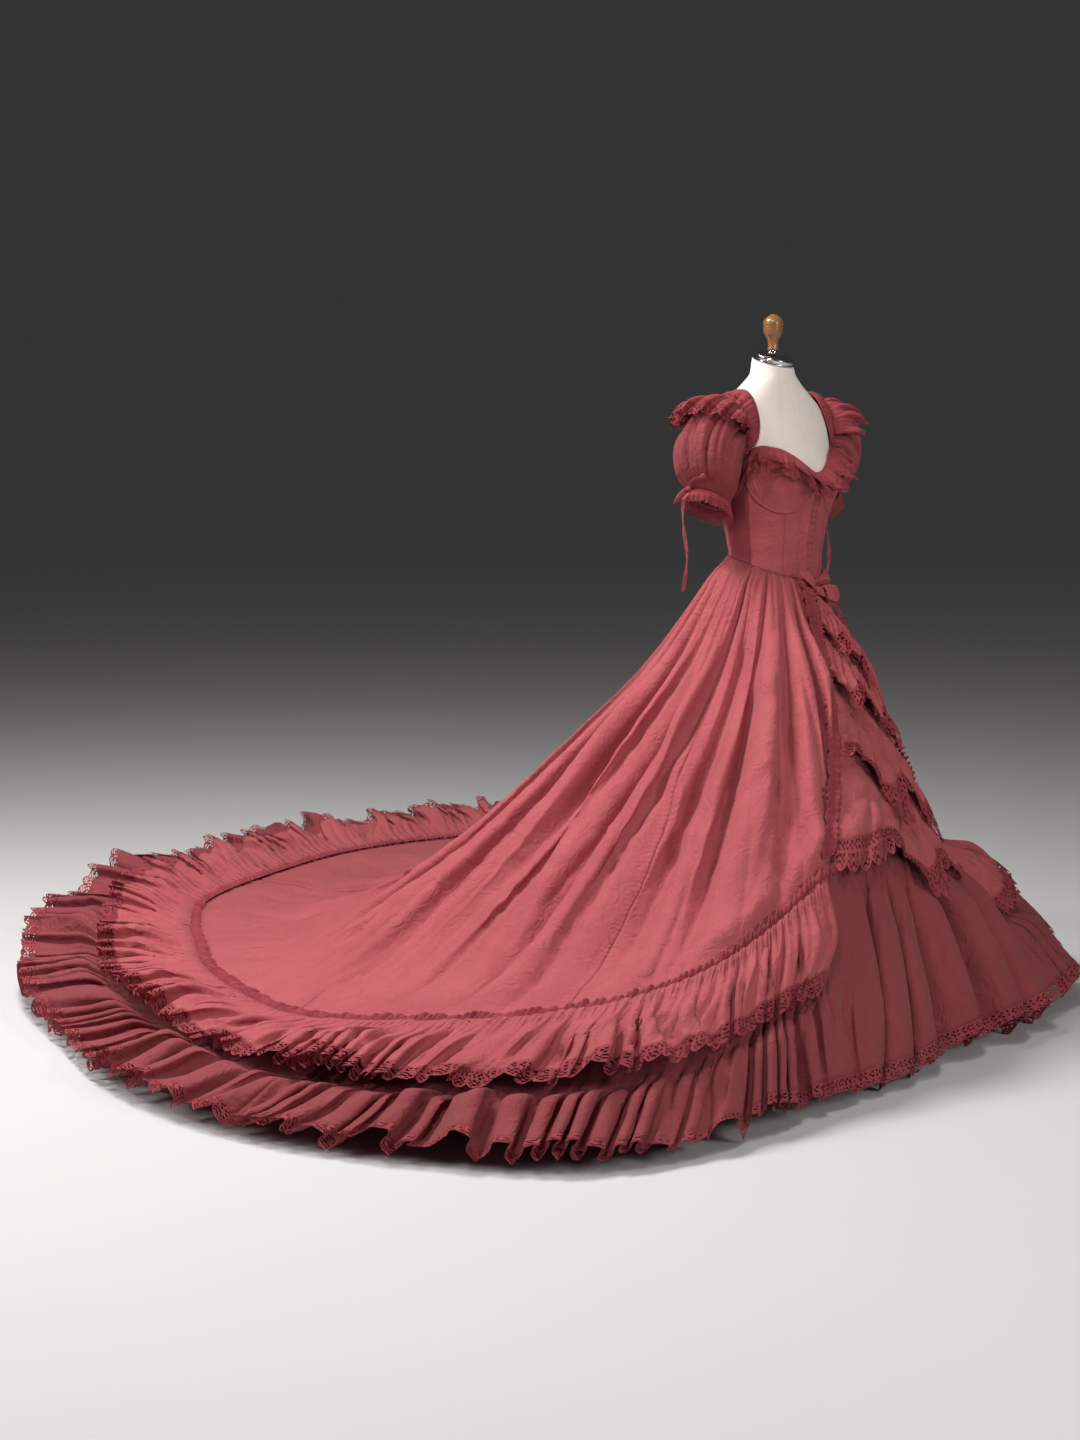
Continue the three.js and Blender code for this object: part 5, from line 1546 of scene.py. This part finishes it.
def swag_sheet(right_t, left_t, fall, seed):
    """One draped layer: its free edge zigzags down to the wearer's left in soft cascades."""
    def sheet(u, v, raised=0.0):
        phase = 4.4 * np.pi * (u + 0.06 * wander(u * 5, seed)) + seed * 1.3
        zigzag = 0.24 * np.cos(phase + 2.2 * v) * np.sin(np.pi * u) ** 0.5
        dip = 0.12 * np.sin(np.pi * u) + zigzag + 0.5 * (1 - u) - 0.2
        t = lerp(left_t, right_t, u) + fall * v * (1 + dip * v)
        right = beside_edge("right", t, -swag_out["inside"])
        left = beside_edge("left", t, -swag_out["inside"])
        wave = swell(phase)
        hung = np.sin(np.pi * np.clip(u, 0.0, 1.0)) ** 0.5
        drape = 1.5 * gathers(v * 3.2 + 1.6 * u + 0.4 * wander(u * 7, seed), seed, 0.8)
        pinch = gathers(v * 13, seed + 2) * (1 - hung) * 3
        across = gathers(u * 8 - 1.4 * v, seed + 4, 0.7) * 32 * smooth(v, 0.1, 0.9)
        settled = 0.3 + 0.7 * hung
        out = ((lerp(swag_out["top"], swag_out["bottom"], v) + 1.6 * swag_out["wave"] * wave * v)
               * settled + 1.5 * (1 - hung)
               + hung * smooth(v, 0.02, 0.2) * (12 * drape + across) + pinch)
        sideways = 2.2 * np.sin(2 * phase) * smooth(v, 0.3, 1) * hung
        return over_skirt(lerp(left, right, u) + sideways * 60 / (200 + 500 * t), t, out + raised)
    return sheet


for name, right_t, left_t, fall, flat, repeats in swags:
    sheet = swag_sheet(right_t, left_t, fall, 161 + repeats)
    sewn_piece(f"{name}_cloth", sheet, (96, 28), cotton, opening_axis, flat, "draped",
               ["front_panel_cloth"], v_range=(0, 0.80))
    lace_edging(f"{name}_lace", sheet, repeats, (0.78, 1.0), away_from=opening_axis, raised=1.0)

# ==== Edge frills ================================================================================
# A narrow strip ruched down its middle covers each edge of the opening, from the waist seam to the
# ruffles.
edge_frill = {"from": 0.03, "to": 0.95, "width": 36, "waves": 10, "out": 9, "wave": 6, "in": 9}


def edge_frill_sheet(side, seed):
    def sheet(u, v, raised=0.0):
        t = lerp(edge_frill["from"], edge_frill["to"], u)
        small = gathers(u * 46 + 0.4 * np.sin(np.pi * v), seed, 0.8)
        spread = (v - 0.45) * (1 + 0.45 * (small - 0.5) + 0.2 * wander(u * 60, seed + 2)) + 0.45
        phi = beside_edge(side, t, edge_frill["width"] * spread - edge_frill["in"])
        wave = swell(2 * np.pi * edge_frill["waves"] * u)
        standing = np.abs(2 * v - 1) ** 0.8
        out = edge_frill["out"] + edge_frill["wave"] * wave * (1 - v)
        out = out + 2 + 13 * standing * (0.3 + 0.7 * small) + 4.0 * small * (1 - standing)
        base = skirt_relief(phi, t) * smooth(v, 0.1, 1.0) * 0.4
        return over_skirt(phi, t, np.maximum(base, 0) + out + raised)
    return sheet


for side, tag, seed, length in (("right", "r", 181, 0.9), ("left", "l", 185, 0.75)):
    sewn_piece(f"edge_frill_{tag}_cloth", edge_frill_sheet(side, seed), (280, 9), lace_cloth,
               (0, 300, 300), (length, 0.04), "gathered", ["skirt_gore_1_cloth"], thick=1.0)

# ==== Bow at the waist ===========================================================================
# A small bow of folded cotton on the waist seam at centre front: a tight knot with one short petal
# turned up and one long one turned down.
bow = {"t": 0.07, "out": 12.5, "beside": 7.2, "bulge": 12}
bow_root = over_skirt(np.array(0.0), np.array(bow["t"]), bow["out"])


def petal_sheet(root, reach, rise, half):
    def sheet(u, v):
        half_width = half * np.sin(np.pi * np.clip(0.08 + 0.9 * u, 0, 1)) ** 0.8 + 2
        fold = 3.2 * np.abs(2 * v - 1) * np.sin(np.pi * u) + 1.2 * gathers(v * 4, 191) * (1 - u)
        return np.stack([root[0] + reach * u,
                         root[1] - bow["bulge"] * np.sin(np.pi * u) + 0.05 * abs(reach) * u - fold,
                         root[2] + rise * u + half_width * (2 * v - 1)], -1)
    return sheet


for sign, tag, reach, petal_rise, half in ((1, "r", -52, 44, 11), (-1, "l", 84, -16, 17)):
    root = bow_root + np.array([-sign * bow["beside"], 0, 0])
    sewn_piece(f"bow_petal_{tag}_cloth", petal_sheet(root, reach, petal_rise, half), (40, 16),
               cotton, (0, 0, 1000), (abs(reach) * 1.25 * MM, half * 2 * MM), "folded",
               ["bow_knot_cloth"], cut=(0.08, 0.025), thick=1.0)
bow_knot = knot_piece("bow_knot_cloth", bow_root, (7.2, 7.6, 10.5), cotton, 5)
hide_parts("bow_knot")

# ==== Floor, light and camera ====================================================================
# A wide pale floor in dark surroundings. Four round soft lamps stand high on the wearer's right,
# over the train, behind on the right and in front, with a trace of even light from above. The
# camera is at standing height in front of the wearer's right shoulder.
floor_r, floor_z = 60000, -0.5
floor_points = [(-floor_r, -floor_r, floor_z), (floor_r, -floor_r, floor_z),
                (floor_r, floor_r, floor_z), (-floor_r, floor_r, floor_z)]
floor = mesh_object("studio_floor", floor_points, [(0, 1, 2, 3)])
floor_look, floor_tree, floor_shader = start_material("pale_floor", (0.64, 0.63, 0.62), 0.8)
add_mottle(floor_tree, floor_shader, 1.2, (0.65, 0.64, 0.63), (0.63, 0.62, 0.61), 0.5)
floor.data.materials.append(floor_look)

world = bpy.data.worlds.new("studio")
bpy.context.scene.world = world
world.use_nodes = True
feed(world.node_tree, world.node_tree.nodes["Background"],
     {"Color": (0.034, 0.033, 0.033, 1), "Strength": 1.0})
bpy.context.scene.view_settings.view_transform = "Standard"


warm_white, clear_white = (1.0, 0.985, 0.97), (1.0, 0.99, 0.98)
lamps = (
    # name, place and target in metres, width, power in watts, colour
    ("key_light", (-2.9, -1.7, 4.9), (-0.2, 0, 0.7), 1.0, 88, warm_white),
    ("top_light", (-1.6, 1.5, 4.1), (-1.0, 1.3, 0), 1.4, 172, clear_white),
    ("side_light", (-4.9, 2.2, 3.2), (-0.2, 0.5, 0.5), 1.2, 80, warm_white),
    ("front_light", (-0.6, -5.0, 2.6), (0, 0, 0.8), 1.5, 86, warm_white),
)
for name, place, target, size, power, colour in lamps:
    lamp = bpy.data.lights.new(name, "AREA")
    lamp.shape, lamp.size, lamp.energy, lamp.color = "DISK", size, power, colour
    holder = place_object(name, lamp)
    holder.location = place
    holder.rotation_euler = (Vector(target) - Vector(place)).to_track_quat("-Z", "Y").to_euler()

even_light = bpy.data.lights.new("even_light", "SUN")
even_light.energy, even_light.angle = 0.06, 1.5
place_object("even_light", even_light)

camera_pitch, camera_heading = 83.7, -45  # degrees
camera_data = bpy.data.cameras.new("camera")
camera_data.lens = 57.75
camera_data.sensor_width = 36
camera = place_object("camera", camera_data)
camera.location = (-4.279, -3.499, 1.30)
camera.rotation_euler = (math.radians(camera_pitch), 0, math.radians(camera_heading))
bpy.context.scene.camera = camera

low, high = cad_box
